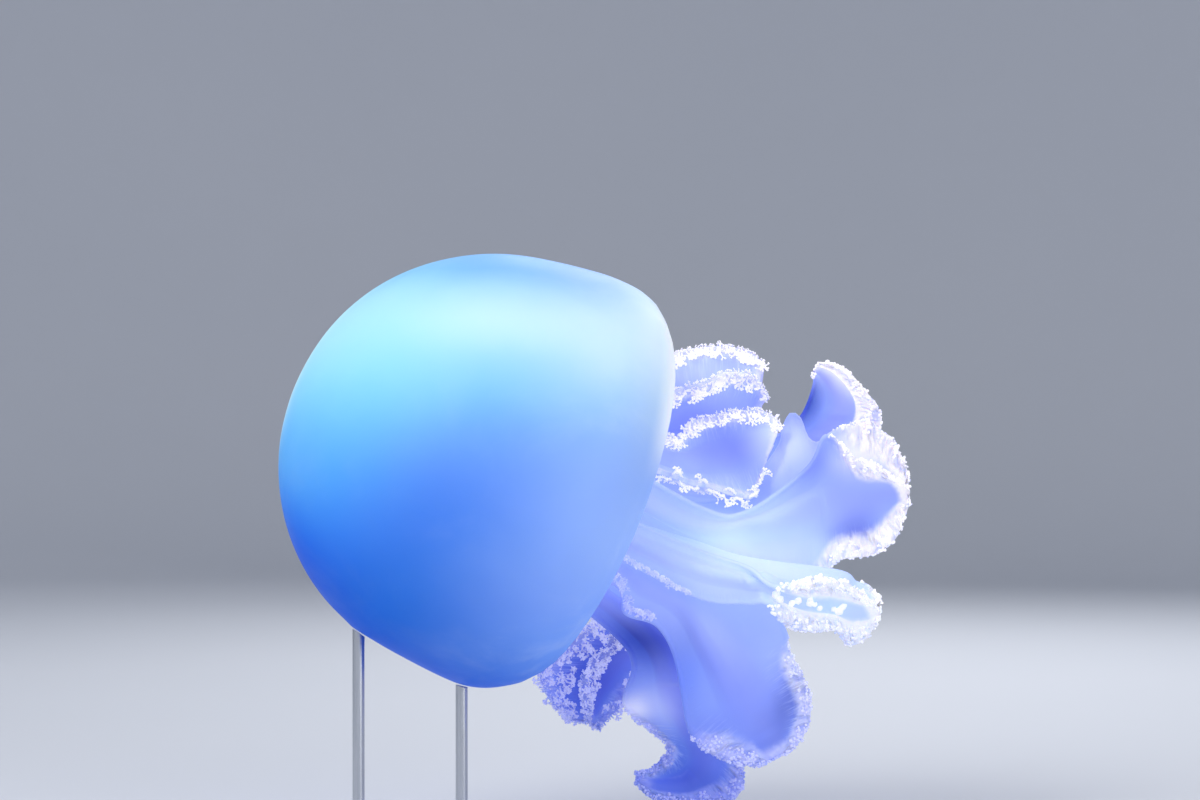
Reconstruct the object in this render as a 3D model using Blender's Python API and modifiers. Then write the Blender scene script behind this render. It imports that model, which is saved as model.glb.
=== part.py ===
"""Blue blubber jellyfish (Catostylus mosaicus), a life-size still model on a display stand.

The body has its own axes: T runs down the animal from the bell's apex to the arm tips,
P points up its back and Q out of its near side.  All three start at the centre of the
bell's rim.  Lengths below are in millimetres.
"""
import math

import bmesh
import bpy
from mathutils import Matrix, Vector
from mathutils.bvhtree import BVHTree

MM = 0.001

# pose of the body
AXIS_DROP = math.radians(18.1)      # T points this far below the horizontal
AXIS_TURN = math.radians(17.4)      # and is turned this far away from the near side
RIM_CENTRE = (53.0, 14.0, 151.0)    # above the middle of the stand's base

# bell
BELL_R = 91.0               # radius at the widest ring
BELL_WIDE_T = -33.0         # where that ring is
BELL_RISE = 101.8           # from that ring up to the apex
BELL_POWER = 2.12           # squareness of the bell's profile
BELL_DROP = -5.0            # the bell's axis lies this far below T
RIM_R = 79.0
RIM_T = -3.0
RIM_TILT = 0.06             # the rim leans toward the arms at its top
# dents and swells of the bell: size, centre down the axis, reach, sharpness
BACK_FLAT = (0.015, -50.4, 20.3, 6)
SHOULDER = (0.043, -8.0, 13.2, 4)
BELLY_HOLLOW = (0.030, -59.0, 29.8, 6)
CAVITY_R = 76.0
CAVITY_RISE = 54.0
CROWN_T = -60.0             # joint between crown and wall
SEAM_T = -20.0              # joint between wall and margin
GAP = 0.3
BELL_STEPS = 44

# mouth disc and its pillars
DISC_T = -38.0
DISC_R = 38.0
DISC_THICK = 12.0
PILLAR_RING = 28.0
PILLAR_R = 7.0

# oral arms
ROOT_RING = 26.0
ROOT_T = -31.2
ROOT_LENGTH = 12.0          # the stretch that leaves the disc square to it
ROOT_REACH = 7.5
ROOT_OUTWARD = 4.0          # what a wing on the ring's outer side has more
CORE_R_ROOT = 6.0
CORE_R_TIP = 2.4
CORE_SWELL = 3.0            # how much stouter the arm is between its root and its tip
WEB = 1.2                   # half the thickness of a wing
LIP_SHARE = 0.22            # most of a narrow wing's width that its lip takes
LIP_PLAIN = 1.3             # half the thickness of a wing's edge before its lip begins
LIP_RISE = 0.08             # the share of the arm over which a lip swells
SLOPE_MOST = 1.2
NEAR_SHARE = 0.4            # how much an edge's pace follows the core beside it
SPLIT = 0.52                # where an arm's base and tip lengths meet
STATIONS = 7                # sections in each length of an arm

# stand
BASE_R = 80.0
BASE_THICK = 8.0
ROD_R = 2.5
ROD_CLEAR = 0.4             # left between a rod's top and the bell
ROD_PLACES = {"stand_rod_left": (-46.0, -6.0), "stand_rod_right": (-4.0, 0.0)}


def body_matrix():
    """The body's place in the model: its X, Y and Z are the directions T, P and Q."""
    t = Vector((math.cos(AXIS_DROP) * math.cos(AXIS_TURN),
                math.cos(AXIS_DROP) * math.sin(AXIS_TURN),
                -math.sin(AXIS_DROP)))
    q = Vector((math.sin(AXIS_TURN), -math.cos(AXIS_TURN), 0.0))
    turned = Matrix((t, q.cross(t), q)).transposed().to_4x4()
    return Matrix.Translation(Vector(RIM_CENTRE) * MM) @ turned


def place(v):
    """A point (t, p, q) of the body in metres."""
    return Vector(v) * MM


# The oral arms, anticlockwise from the back.  "root" is the arm's place round the mouth
# disc in degrees and "core" its axis.  Each wing is the half thickness of its frilled lip,
# the share of the arm's length where that lip begins, and the line that its edge follows.
ARMS = {
    "arm_1": {
        "root": 335,
        "core": [(32, 39, -22), (48, 46, -26), (66, 57, -28)],
        "wings": {
            "far": (2.0, 0.00, [(45, 29, -44), (60, 35, -47), (71, 49, -42)]),
            "up": (2.2, 0.00, [(25, 69, -38), (48, 80, -41), (59, 81, -40), (66, 77, -36)]),
            "near": (2.2, 0.00, [(21, 50, -8), (40, 64, -8), (53, 68, -10), (65, 63, -16)]),
        },
    },
    "arm_2": {
        "root": 20,
        "core": [(26, 19, 14), (41, 27, 15), (64, 43, 10)],
        "wings": {
            "up": (2.2, 0.00, [(21, 30, 8), (28, 40, 6), (51, 52, 4), (60, 53, 6), (65, 50, 8)]),
            "near": (1.6, 0.00, [(19, 12, 34), (29, 12, 38), (44, 13, 39), (53, 15, 36),
                                 (59, 29, 20)]),
            "far": (2.0, 0.00, [(40, 14, -8), (58, 21, -12), (69, 35, -8)]),
        },
    },
    "arm_3": {
        "root": 290,
        "core": [(67, 23, -24), (86, 42, -20), (95, 59, -12), (95, 71, -6), (85, 78, -3),
                 (76, 79, -1)],
        "wings": {
            "out": (3.5, 0.68, [(81, 11, -26), (111, 35, -22), (116, 66, -8), (96, 79, 1),
                                (84, 83, 1), (76, 82, 0)]),
            "in": (1.6, 0.97, [(50, 33, -20), (72, 46, -18), (80, 58, -13), (79, 72, -6),
                               (76, 76, -3)]),
            "far": (2.0, 0.82, [(68, 20, -44), (92, 42, -40), (106, 62, -32), (103, 75, -22),
                                (88, 81, -11)]),
        },
    },
    "arm_4": {
        "root": 65,
        "core": [(29, -3, 38), (54, 5, 43), (77, 19, 44), (120, 40, 30)],
        "wings": {
            "up": (3.0, 0.79, [(35, 6, 12), (58, 19, 6), (71, 41, -3), (71, 50, -4),
                               (72, 57, -3), (75, 56, 2), (76, 48, 15), (76, 46, 28),
                               (77, 51, 36), (92, 61, 35), (110, 53, 31), (118, 46, 29)]),
            "near": (2.6, 0.77, [(29, 4, 44), (48, 8, 45), (65, 32, 52), (68, 47, 55),
                                 (84, 42, 53), (94, 42, 50), (105, 41, 42)]),
            "down": (3.4, 0.66, [(33, -15, 24), (60, -15, 26), (85, -10, 29), (98, 1, 34),
                                 (112, 8, 35), (120, 21, 33), (122, 33, 30)]),
        },
    },
    "arm_5": {
        "root": 110,
        "core": [(26, -20, 50), (54, -19, 58), (81, -20, 53), (118, -14, 44)],
        "wings": {
            "up": (2.2, 0.92, [(33, -10, 32), (57, -10, 36), (95, -3, 42), (105, -5, 40),
                               (111, -5, 40), (117, -9, 42)]),
            "near": (3.0, 0.68, [(28, -13, 50), (49, -14, 60), (61, -19, 69), (83, -9, 67),
                                 (103, -11, 56)]),
            "down": (3.2, 0.61, [(35, -32, 46), (56, -29, 54), (62, -27, 63), (72, -31, 62),
                                 (85, -32, 57), (99, -28, 51), (108, -32, 47), (115, -27, 45),
                                 (118, -18, 44)]),
        },
    },
    "arm_6": {
        "root": 155,
        "core": [(32, -32, 30), (53, -46, 38), (73, -62, 38), (88, -74, 34), (97, -84, 31)],
        "wings": {
            "right": (2.6, 0.71, [(54, -17, 14), (76, -23, 22), (87, -33, 28), (90, -41, 30),
                                  (105, -56, 31), (106, -73, 31), (103, -80, 30)]),
            "far": (1.4, 0.00, [(53, -35, 14), (74, -50, 20), (91, -66, 22), (100, -79, 24)]),
            "left": (4.0, 0.76, [(10, -37, 24), (17, -47, 28), (31, -48, 30), (43, -59, 30),
                                 (55, -83, 34), (64, -90, 35), (77, -92, 35), (90, -90, 33)]),
        },
    },
    "arm_7": {
        "root": 200,
        "core": [(41, -53, 4), (62, -73, 4), (77, -92, 4), (75, -105, 3), (63, -110, 3),
                 (52, -110, 3)],
        "wings": {
            "right": (3.0, 0.65, [(70, -52, 8), (86, -74, 6), (96, -93, 5), (97, -104, 4),
                                  (87, -112, 5), (73, -116, 6), (59, -116, 6), (51, -112, 5)]),
            "left": (1.7, 0.63, [(30, -60, 4), (38, -82, -2), (55, -90, -2), (61, -93, 0),
                                 (61, -98, 1), (56, -104, 3), (50, -107, 3)]),
            "far": (2.0, 0.71, [(65, -52, -16), (84, -73, -18), (95, -92, -17), (86, -108, -12),
                                (67, -113, -6)]),
        },
    },
    "arm_8": {
        "root": 245,
        "core": [(46, -48, -34), (41, -64, -38), (38, -81, -40), (38, -94, -40)],
        "wings": {
            "left": (2.4, 0.00, [(23, -46, -34), (18, -64, -38), (11, -81, -39), (19, -91, -39),
                                 (30, -95, -39)]),
            "near": (2.0, 0.00, [(29, -50, -20), (26, -69, -20), (26, -81, -21), (32, -89, -27)]),
            "right": (3.0, 0.73, [(61, -50, -32), (60, -63, -34), (44, -95, -38)]),
        },
    },
}


def clear_scene():
    for item in list(bpy.data.objects):
        bpy.data.objects.remove(item, do_unlink=True)
    for mesh in list(bpy.data.meshes):
        bpy.data.meshes.remove(mesh)


def collection(name, hidden=False):
    group = bpy.data.collections.new(name)
    group.hide_render = hidden
    bpy.context.scene.collection.children.link(group)
    return group


def material(name, colour, roughness, metallic=0.0):
    mat = bpy.data.materials.new(name)
    mat.use_nodes = True
    shader = mat.node_tree.nodes["Principled BSDF"]
    shader.inputs["Base Color"].default_value = (*colour, 1.0)
    shader.inputs["Roughness"].default_value = roughness
    shader.inputs["Metallic"].default_value = metallic
    mat.diffuse_color = (*colour, 1.0)
    return mat


def add_object(group, name, mesh, mat, parent=None):
    obj = bpy.data.objects.new(name, mesh)
    obj.data.materials.clear()
    obj.data.materials.append(mat)
    obj.parent = parent
    group.objects.link(obj)
    return obj


def mesh_from(name, points, faces, outward=True):
    """A closed mesh with its faces turned outward."""
    bm = bmesh.new()
    verts = [bm.verts.new(p) for p in points]
    for face in faces:
        bm.faces.new([verts[i] for i in face])
    bmesh.ops.recalc_face_normals(bm, faces=bm.faces)
    if outward and bm.calc_volume(signed=True) < 0.0:
        bmesh.ops.reverse_faces(bm, faces=bm.faces)
    mesh = bpy.data.meshes.new(name)
    bm.to_mesh(mesh)
    bm.free()
    return mesh


def screw_mesh(name, profile, steps):
    """A (radius, height) profile turned about Z by the Screw modifier."""
    mesh = bpy.data.meshes.new(name + "_profile")
    count = len(profile)
    closed = profile[0][0] > 1e-9
    edges = [(i, i + 1) for i in range(count - 1)]
    if closed:
        edges.append((count - 1, 0))
    mesh.from_pydata([(r, 0.0, h) for r, h in profile], edges, [])
    obj = bpy.data.objects.new(name + "_profile", mesh)
    bpy.context.scene.collection.objects.link(obj)
    turn = obj.modifiers.new("turn", "SCREW")
    turn.axis = "Z"
    turn.angle = math.tau
    turn.steps = steps
    turn.render_steps = steps
    turn.use_merge_vertices = True
    turn.merge_threshold = 0.00005
    turn.use_normal_calculate = True
    graph = bpy.context.evaluated_depsgraph_get()
    turned = bpy.data.meshes.new_from_object(obj.evaluated_get(graph))
    bpy.data.objects.remove(obj, do_unlink=True)
    bm = bmesh.new()
    bm.from_mesh(turned)
    bmesh.ops.remove_doubles(bm, verts=bm.verts, dist=0.00005)
    bmesh.ops.recalc_face_normals(bm, faces=bm.faces)
    if bm.calc_volume(signed=True) < 0.0:
        bmesh.ops.reverse_faces(bm, faces=bm.faces)
    bm.to_mesh(turned)
    bm.free()
    turned.name = name
    return turned


def swell(shape, t, facing):
    """Share by which the bell swells or sinks at t, on the side that it faces."""
    size, centre, reach, power = shape
    return size * math.exp(-((t - centre) / reach) ** 2) * max(facing, 0.0) ** power


def bell_warp(t, radius, angle):
    """Where a ring point of the bell lies in the body, with the bell's lean and dents."""
    up = math.cos(angle)
    side = math.sin(angle)
    # the belly's hollow is in the outer face only
    rind = min(max((radius - CAVITY_R) / 8.0, (-75.0 - t) / 12.0, 0.0), 1.0)
    radius *= (1.0 - swell(BACK_FLAT, t, up)) * (1.0 + swell(SHOULDER, t, up))
    radius *= 1.0 - swell(BELLY_HOLLOW, t, -up) * rind
    p = BELL_DROP + radius * up
    q = radius * side
    lean = RIM_TILT * radius * up * (1.0 - 0.6 * max(up, 0.0) ** 3)
    lean *= min(max((t + 80.0) / 80.0, 0.0), 1.0)
    return (t + lean, p, q)


def bell_mesh(name, profile):
    """A ring or cap of the bell from its (t, radius) profile."""
    mesh = screw_mesh(name, [(r * MM, -t * MM) for t, r in profile], BELL_STEPS)
    for vert in mesh.vertices:
        x, y, z = vert.co
        t = -z / MM
        vert.co = place(bell_warp(t, math.hypot(x, y) / MM, math.atan2(y, x)))
    bm = bmesh.new()
    bm.from_mesh(mesh)
    bmesh.ops.recalc_face_normals(bm, faces=bm.faces)
    if bm.calc_volume(signed=True) < 0.0:
        bmesh.ops.reverse_faces(bm, faces=bm.faces)
    bm.to_mesh(mesh)
    bm.free()
    return mesh


def cap_curve(rise, radius, power, count):
    """Points (t, radius) of a superellipse from the apex to the widest ring."""
    points = []
    for i in range(count):
        turn = 0.5 * math.pi * i / (count - 1)
        points.append((BELL_WIDE_T - rise * math.cos(turn) ** (2.0 / power),
                       radius * math.sin(turn) ** (2.0 / power)))
    points[0] = (points[0][0], 0.0)
    points[-1] = (BELL_WIDE_T, radius)
    return points


def outer_radius(t):
    """Radius of the bell below its widest ring."""
    fall = (t - BELL_WIDE_T) / (RIM_T - BELL_WIDE_T)
    return BELL_R - (BELL_R - RIM_R) * fall ** 2.0


def cap_radius(t, rise, radius, power):
    """Radius of a superellipse cap at t."""
    return radius * (1.0 - ((BELL_WIDE_T - t) / rise) ** power) ** (1.0 / power)


def make_bell(group, body):
    outer = cap_curve(BELL_RISE, BELL_R, BELL_POWER, 11)
    outer += [(t, outer_radius(t)) for t in (-26.0, SEAM_T - GAP)]
    inner = cap_curve(CAVITY_RISE, CAVITY_R, 2.0, 7)
    inner += [(SEAM_T - GAP, 74.5)]
    cut = [[(t, cap_radius(t, BELL_RISE, BELL_R, BELL_POWER)),
            (t, cap_radius(t, CAVITY_RISE, CAVITY_R, 2.0))] for t in (CROWN_T, CROWN_T + GAP)]
    above = [p for p in outer if p[0] < CROWN_T] + cut[0]
    above += [p for p in inner if p[0] < CROWN_T][::-1]
    below = cut[1][:1] + [p for p in outer if p[0] > CROWN_T + GAP]
    below += [p for p in inner if p[0] > CROWN_T + GAP][::-1] + cut[1][1:]
    gel = material("bell_gel", (0.26, 0.50, 0.93), 0.25)
    add_object(group, "bell_crown", bell_mesh("bell_crown", above), gel, body)
    gel = material("wall_gel", (0.26, 0.46, 0.93), 0.25)
    add_object(group, "bell_wall", bell_mesh("bell_wall", below), gel, body)

    ring = [(SEAM_T, 74.5), (SEAM_T, outer_radius(SEAM_T))]
    ring += [(RIM_T - 11.0, outer_radius(RIM_T - 11.0)), (RIM_T - 5.5, RIM_R + 3.6)]
    ring += [(RIM_T - 1.6, RIM_R + 0.6), (RIM_T, RIM_R - 3.0), (RIM_T - 0.6, RIM_R - 6.8)]
    ring += [(RIM_T - 3.4, RIM_R - 9.4), (RIM_T - 8.0, RIM_R - 9.0)]
    margin = bell_mesh("bell_margin", ring)
    gel = material("margin_gel", (0.30, 0.48, 0.92), 0.28)
    add_object(group, "bell_margin", margin, gel, body)


def disc_profile():
    top = DISC_T - DISC_THICK * 0.5
    low = DISC_T + DISC_THICK * 0.5
    return [(top, 0.0), (top, DISC_R - 5.0), (top + 3.0, DISC_R - 1.0), (DISC_T, DISC_R),
            (low - 2.0, DISC_R - 1.5), (low, DISC_R - 5.0), (low, 0.0)]


def make_disc(group, body):
    mesh = screw_mesh("oral_disc", [(r * MM, -t * MM) for t, r in disc_profile()], 24)
    for vert in mesh.vertices:
        x, y, z = vert.co
        vert.co = place((-z / MM, BELL_DROP + x / MM, y / MM))
    bm = bmesh.new()
    bm.from_mesh(mesh)
    bmesh.ops.recalc_face_normals(bm, faces=bm.faces)
    bm.to_mesh(mesh)
    bm.free()
    add_object(group, "oral_disc", mesh, material("disc_gel", (0.42, 0.52, 0.90), 0.3), body)


def make_pillars(group, body, cavity):
    """Four short pillars from the mouth disc up to the roof of the bell's cavity."""
    gel = material("pillar_gel", (0.38, 0.50, 0.90), 0.3)
    sides = 10
    foot_t = DISC_T - DISC_THICK * 0.5 - GAP
    for number in range(4):
        angle = math.radians(45.0 + 90.0 * number)
        centre = Vector((0.0, BELL_DROP + PILLAR_RING * math.cos(angle),
                         PILLAR_RING * math.sin(angle)))
        rings = []
        for step, swell in enumerate((1.0, 0.8, 0.85)):
            ring = []
            for i in range(sides):
                turn = math.tau * i / sides
                ring.append(Vector((foot_t - 14.0 * step,
                                    centre.y + PILLAR_R * swell * math.cos(turn),
                                    centre.z + PILLAR_R * swell * math.sin(turn))))
            rings.append(ring)
        crown = []
        for i in range(sides):
            turn = math.tau * i / sides
            low = Vector((foot_t - 30.0, centre.y + PILLAR_R * 1.15 * math.cos(turn),
                          centre.z + PILLAR_R * 1.15 * math.sin(turn)))
            hit = cavity.ray_cast(place(low), Vector((-1.0, 0.0, 0.0)))
            roof = hit[3] / MM if hit[0] is not None else 20.0
            crown.append(low - Vector((roof - 0.5, 0.0, 0.0)))
        rings.append(crown)
        mesh = loft_mesh("pillar_%d" % (number + 1), rings)
        add_object(group, "pillar_%d" % (number + 1), mesh, gel, body)


def loft_mesh(name, rings):
    """A closed loft through rings of body points, with flat fans at its ends."""
    count = len(rings[0])
    points = [place(p) for ring in rings for p in ring]
    faces = []
    for j in range(len(rings) - 1):
        for i in range(count):
            a = j * count + i
            b = j * count + (i + 1) % count
            faces.append((a, b, b + count))
            faces.append((a, b + count, a + count))
    for j in (0, len(rings) - 1):
        centre = sum((place(p) for p in rings[j]), Vector()) / count
        points.append(centre)
        hub = len(points) - 1
        for i in range(count):
            faces.append((hub, j * count + i, j * count + (i + 1) % count))
    return mesh_from(name, points, faces)


def pace(points):
    """How far along the line each of its points comes, from 0 to 1."""
    reach = [0.0]
    for a, b in zip(points, points[1:]):
        reach.append(reach[-1] + (b - a).length)
    return [r / reach[-1] for r in reach]


def along(line, where):
    """A smooth line's point at a share of its way from 0 to 1; line is (points, pace)."""
    points, knots = line
    want = min(max(where, 0.0), 1.0)
    i = 0
    while i < len(points) - 2 and knots[i + 1] < want:
        i += 1
    u = (want - knots[i]) / (knots[i + 1] - knots[i])
    p1, p2 = points[i], points[i + 1]
    p0 = points[i - 1] if i > 0 else p1 * 2.0 - p2
    p3 = points[i + 2] if i + 2 < len(points) else p2 * 2.0 - p1
    return 0.5 * (p1 * 2.0 + (p2 - p0) * u + (p0 * 2.0 - p1 * 5.0 + p2 * 4.0 - p3) * u * u
                  + (p1 * 3.0 - p0 - p2 * 3.0 + p3) * u ** 3)


def keep_pace(points, core):
    """The pace of a wing's edge beside its core, part by length and part by nearness."""
    knots = pace(points)
    places = [i / 60.0 for i in range(61)]
    spots = [along(core, s) for s in places]
    paced = [0.0]
    for i in range(1, len(points)):
        near = min(range(61), key=lambda k: (spots[k] - points[i]).length)
        share = NEAR_SHARE * places[near] + (1.0 - NEAR_SHARE) * knots[i]
        paced.append(max(share, paced[-1] + 0.4 * (knots[i] - knots[i - 1])))
    return [s / paced[-1] for s in paced]


def arm_lines(arm):
    """The arm's core line and its wings' edge lines, from the mouth disc outward."""
    angle = math.radians(arm["root"])
    ring = Vector((0.0, math.cos(angle), math.sin(angle)))
    root = Vector((ROOT_T, BELL_DROP, 0.0)) + ring * ROOT_RING
    stem = Vector((ROOT_LENGTH, 0.0, 0.0))
    points = [root, root + stem] + [Vector(p) for p in arm["core"]]
    core = (points, pace(points))
    down = Vector((1.0, 0.0, 0.0))
    swing = (points[3] - root).rotation_difference(down)
    wings = []
    for lip, begins, edge in arm["wings"].values():
        edge = [Vector(p) for p in edge]
        way = swing @ (edge[0] - points[2])
        way.x = 0.0
        way.normalize()
        start = root + way * (ROOT_REACH + ROOT_OUTWARD * max(way.dot(ring), 0.0))
        edge = [start, start + stem] + edge
        wings.append((lip, begins, (edge, keep_pace(edge, core))))
    if sum(section(core, wings, 0.5)[2]) > 1.5 * math.tau:
        wings.reverse()
    return core, wings


def section(core, wings, where):
    """The outline of an arm at one place: three lipped wings round the core."""
    here = along(core, where)
    ahead = along(core, min(where + 0.02, 1.0)) - along(core, max(where - 0.02, 0.0))
    ahead.normalize()
    if where < 0.001:
        ahead = Vector((1.0, 0.0, 0.0))
    edges = [along(line, where) for lip, begins, line in wings]
    side = (edges[0] - here) - ahead * (edges[0] - here).dot(ahead)
    side.normalize()
    other = ahead.cross(side)
    turns = []
    slopes = []
    for edge in edges:
        way = edge - here
        turns.append(math.atan2(way.dot(other), way.dot(side)))
        slopes.append(way.dot(ahead) / math.hypot(way.dot(other), way.dot(side)))
    gaps = [(turns[(k + 1) % 3] - turns[k]) % math.tau for k in range(3)]
    core_r = CORE_R_ROOT + (CORE_R_TIP - CORE_R_ROOT) * where
    core_r += CORE_SWELL * math.sin(math.pi * min(where / 0.8, 1.0))
    widths = [(edge - here).length for edge in edges]
    ring = []
    for k, (lip, begins, line) in enumerate(wings):
        edge = edges[k]
        way = edge - here
        width = widths[k]
        full = min(max((where - begins) / LIP_RISE, 0.0), 1.0)
        lip = min(LIP_PLAIN + (lip - LIP_PLAIN) * full, LIP_SHARE * width)
        run = along(line, min(where + 0.02, 1.0)) - along(line, max(where - 0.02, 0.0))
        normal = (run.normalized() + ahead).cross(way).normalized()
        lip_in = 1.0 - 1.9 * lip / width
        lip_out = 1.0 - 0.7 * lip / width
        web = min(WEB, 0.5 * lip)
        for f, half in ((0.42, web * 1.1), (lip_in, web), (lip_out, lip * 0.85)):
            ring.append(here + way * f - normal * half)
        ring.append(edge.copy())
        for f, half in ((lip_out, lip * 0.85), (lip_in, web), (0.42, web * 1.1)):
            ring.append(here + way * f + normal * half)
        turn = turns[k] + 0.5 * gaps[k]
        flat = min(max((gaps[k] - 1.7) / 1.4, 0.0), 1.0)
        reach = min(core_r, (0.36 + 0.4 * flat) * min(widths[k], widths[(k + 1) % 3]))
        if gaps[k] > math.pi:
            reach *= 0.7
        slope = 0.5 * (slopes[k] + slopes[(k + 1) % 3])
        most = SLOPE_MOST * min((1.12 - where) / 0.2, 1.0)
        slope = min(max(slope, -most), most)
        out = side * math.cos(turn) + other * math.sin(turn) + ahead * slope
        ring.append(here + out * reach)
    return here, ring, gaps


def arm_mesh(name, core, wings, start, end):
    """One length of an arm as a closed mesh."""
    points = []
    faces = []
    count = 24
    for j in range(STATIONS):
        where = start + (end - start) * j / (STATIONS - 1)
        here, ring, gaps = section(core, wings, where)
        points += [place(p) for p in ring]
    for j in range(STATIONS - 1):
        for i in range(count):
            a = j * count + i
            b = j * count + (i + 1) % count
            if i % 8 in (3, 4, 5, 6):
                faces.append((a, b, a + count))
                faces.append((b, b + count, a + count))
            else:
                faces.append((a, b, b + count))
                faces.append((a, b + count, a + count))
    for j in (0, STATIONS - 1):
        base = j * count
        for k in range(3):
            w = base + k * 8
            faces.append((w, w + 1, w + 5, w + 6))
            faces.append((w + 1, w + 2, w + 4, w + 5))
            faces.append((w + 2, w + 3, w + 4))
            before = base + (k * 8 - 1) % count
            faces.append((before, w, w + 6, w + 7))
        faces.append((base + 7, base + 15, base + 23))
    return mesh_from(name, points, faces)


def make_arms(group, body):
    for name, arm in ARMS.items():
        core, wings = arm_lines(arm)
        gel = material(name + "_gel", (0.55, 0.60, 0.93), 0.35)
        tip_gel = material(name + "_tip_gel", (0.68, 0.70, 0.95), 0.35)
        split = 0.5 * GAP / (along(core, 0.55) - along(core, 0.45)).length * 0.1
        mesh = arm_mesh(name + "_base", core, wings, 0.0, SPLIT - split)
        add_object(group, name + "_base", mesh, gel, body)
        mesh = arm_mesh(name + "_tip", core, wings, SPLIT + split, 1.0)
        add_object(group, name + "_tip", mesh, tip_gel, body)


def make_stand(group, bell):
    metal = material("stand_metal", (0.62, 0.63, 0.65), 0.3, 1.0)
    plate = material("stand_plate", (0.85, 0.86, 0.88), 0.4)
    edge = 1.2
    profile = [(0.0, 0.0), (BASE_R - edge, 0.0), (BASE_R, edge), (BASE_R, BASE_THICK - edge),
               (BASE_R - edge, BASE_THICK), (0.0, BASE_THICK)]
    base = screw_mesh("stand_base", [(r * MM, h * MM) for r, h in profile], 64)
    add_object(group, "stand_base", base, plate)
    for name, (x, y) in ROD_PLACES.items():
        bm = bmesh.new()
        bmesh.ops.create_cone(bm, cap_ends=True, segments=20, radius1=ROD_R * MM,
                              radius2=ROD_R * MM, depth=2.0 * ROD_R * MM)
        foot = Vector((x, y, BASE_THICK + GAP)) * MM
        for vert in bm.verts:
            spot = foot + Vector((vert.co.x, vert.co.y, 0.0))
            hit = bell.ray_cast(spot, Vector((0.0, 0.0, 1.0)))
            vert.co.z = hit[3] - ROD_CLEAR * MM if vert.co.z > 0.0 else 0.0
        mesh = bpy.data.meshes.new(name)
        bm.to_mesh(mesh)
        bm.free()
        rod = add_object(group, name, mesh, metal)
        rod.location = foot


def tree_of(names, matrix):
    """What a ray meets of the named solids."""
    points = []
    faces = []
    for name in names:
        mesh = bpy.data.objects[name].data
        faces += [[i + len(points) for i in p.vertices] for p in mesh.polygons]
        points += [matrix @ v.co for v in mesh.vertices]
    return BVHTree.FromPolygons(points, faces)


def main():
    clear_scene()
    group = collection("jellyfish")
    body = bpy.data.objects.new("body", None)
    body.matrix_world = body_matrix()
    group.objects.link(body)
    make_bell(group, body)
    bell = ("bell_crown", "bell_wall", "bell_margin")
    make_disc(group, body)
    make_pillars(group, body, tree_of(bell, Matrix.Identity(4)))
    make_arms(group, body)
    make_stand(group, tree_of(bell, body_matrix()))
    bpy.context.view_layer.update()


main()
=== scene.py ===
"""Blue blubber jellyfish on its display stand: skins, frills, finishes, light and camera.

The body's own axes are T, down the animal from the bell's apex to the arm tips, P, up its
back, and Q, out of its near side, from the centre of the bell's rim.  The shape's sizes are
in millimetres.
"""
import math

import bpy
import numpy as np
from mathutils import Matrix, Vector

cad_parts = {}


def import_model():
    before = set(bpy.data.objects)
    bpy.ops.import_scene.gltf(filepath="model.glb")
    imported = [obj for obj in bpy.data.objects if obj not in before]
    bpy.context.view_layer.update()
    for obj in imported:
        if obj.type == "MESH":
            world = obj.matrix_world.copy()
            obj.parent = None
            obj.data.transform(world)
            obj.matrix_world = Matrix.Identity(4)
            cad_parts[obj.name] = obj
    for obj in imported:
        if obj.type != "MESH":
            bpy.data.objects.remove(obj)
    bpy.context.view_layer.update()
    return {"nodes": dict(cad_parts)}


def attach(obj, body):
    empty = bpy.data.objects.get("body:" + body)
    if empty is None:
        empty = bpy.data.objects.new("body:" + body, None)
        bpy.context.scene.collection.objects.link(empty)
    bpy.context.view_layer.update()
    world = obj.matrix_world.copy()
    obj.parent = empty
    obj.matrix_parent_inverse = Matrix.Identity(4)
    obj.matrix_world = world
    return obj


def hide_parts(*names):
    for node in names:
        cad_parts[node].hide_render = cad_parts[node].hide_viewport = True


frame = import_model()

MM = 0.001
RNG = np.random.default_rng(11)

# pose of the body, as in the solids
AXIS_DROP = math.radians(18.1)      # T points this far below the horizontal
AXIS_TURN = math.radians(17.4)      # and is turned this far away from the near side
RIM_CENTRE = (53.0, 14.0, 151.0)    # above the middle of the stand's base

# bell, as in the solids
BELL_R = 91.0               # radius at the widest ring
BELL_WIDE_T = -33.0         # where that ring is
BELL_RISE = 101.8           # from that ring up to the apex
BELL_POWER = 2.12           # squareness of the bell's profile
BELL_DROP = -5.0            # the bell's axis lies this far below T
RIM_R = 79.0
RIM_T = -3.0
RIM_TILT = 0.06             # the rim leans toward the arms at its top
# dents and swells of the bell: size, centre down the axis, reach, sharpness
BACK_FLAT = (0.015, -50.4, 20.3, 6)
SHOULDER = (0.043, -8.0, 13.2, 4)
BELLY_HOLLOW = (0.030, -59.0, 29.8, 6)
CAVITY_R = 76.0
CAVITY_RISE = 54.0

# mouth disc, its pillars and the arms, as in the solids
DISC_T = -38.0
DISC_R = 38.0
DISC_THICK = 12.0
PILLAR_RING = 28.0
ROOT_RING = 26.0
ROOT_T = -31.2
ROOT_LENGTH = 12.0          # the stretch that leaves the disc square to it
ROOT_REACH = 7.5
ROOT_OUTWARD = 4.0          # what a wing on the ring's outer side has more
CORE_R_ROOT = 6.0
CORE_R_TIP = 2.4
CORE_SWELL = 3.0            # how much stouter the arm is between its root and its tip
WEB = 1.2                   # half the thickness of a wing
LIP_SHARE = 0.22            # most of a narrow wing's width that its lip takes
LIP_PLAIN = 1.3             # half the thickness of a wing's edge before its lip begins
LIP_RISE = 0.08             # the share of the arm over which a lip swells
SLOPE_MOST = 1.2            # steepest slope of a fold between two wings
NEAR_SHARE = 0.4            # how much an edge's pace follows the core beside it

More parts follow.
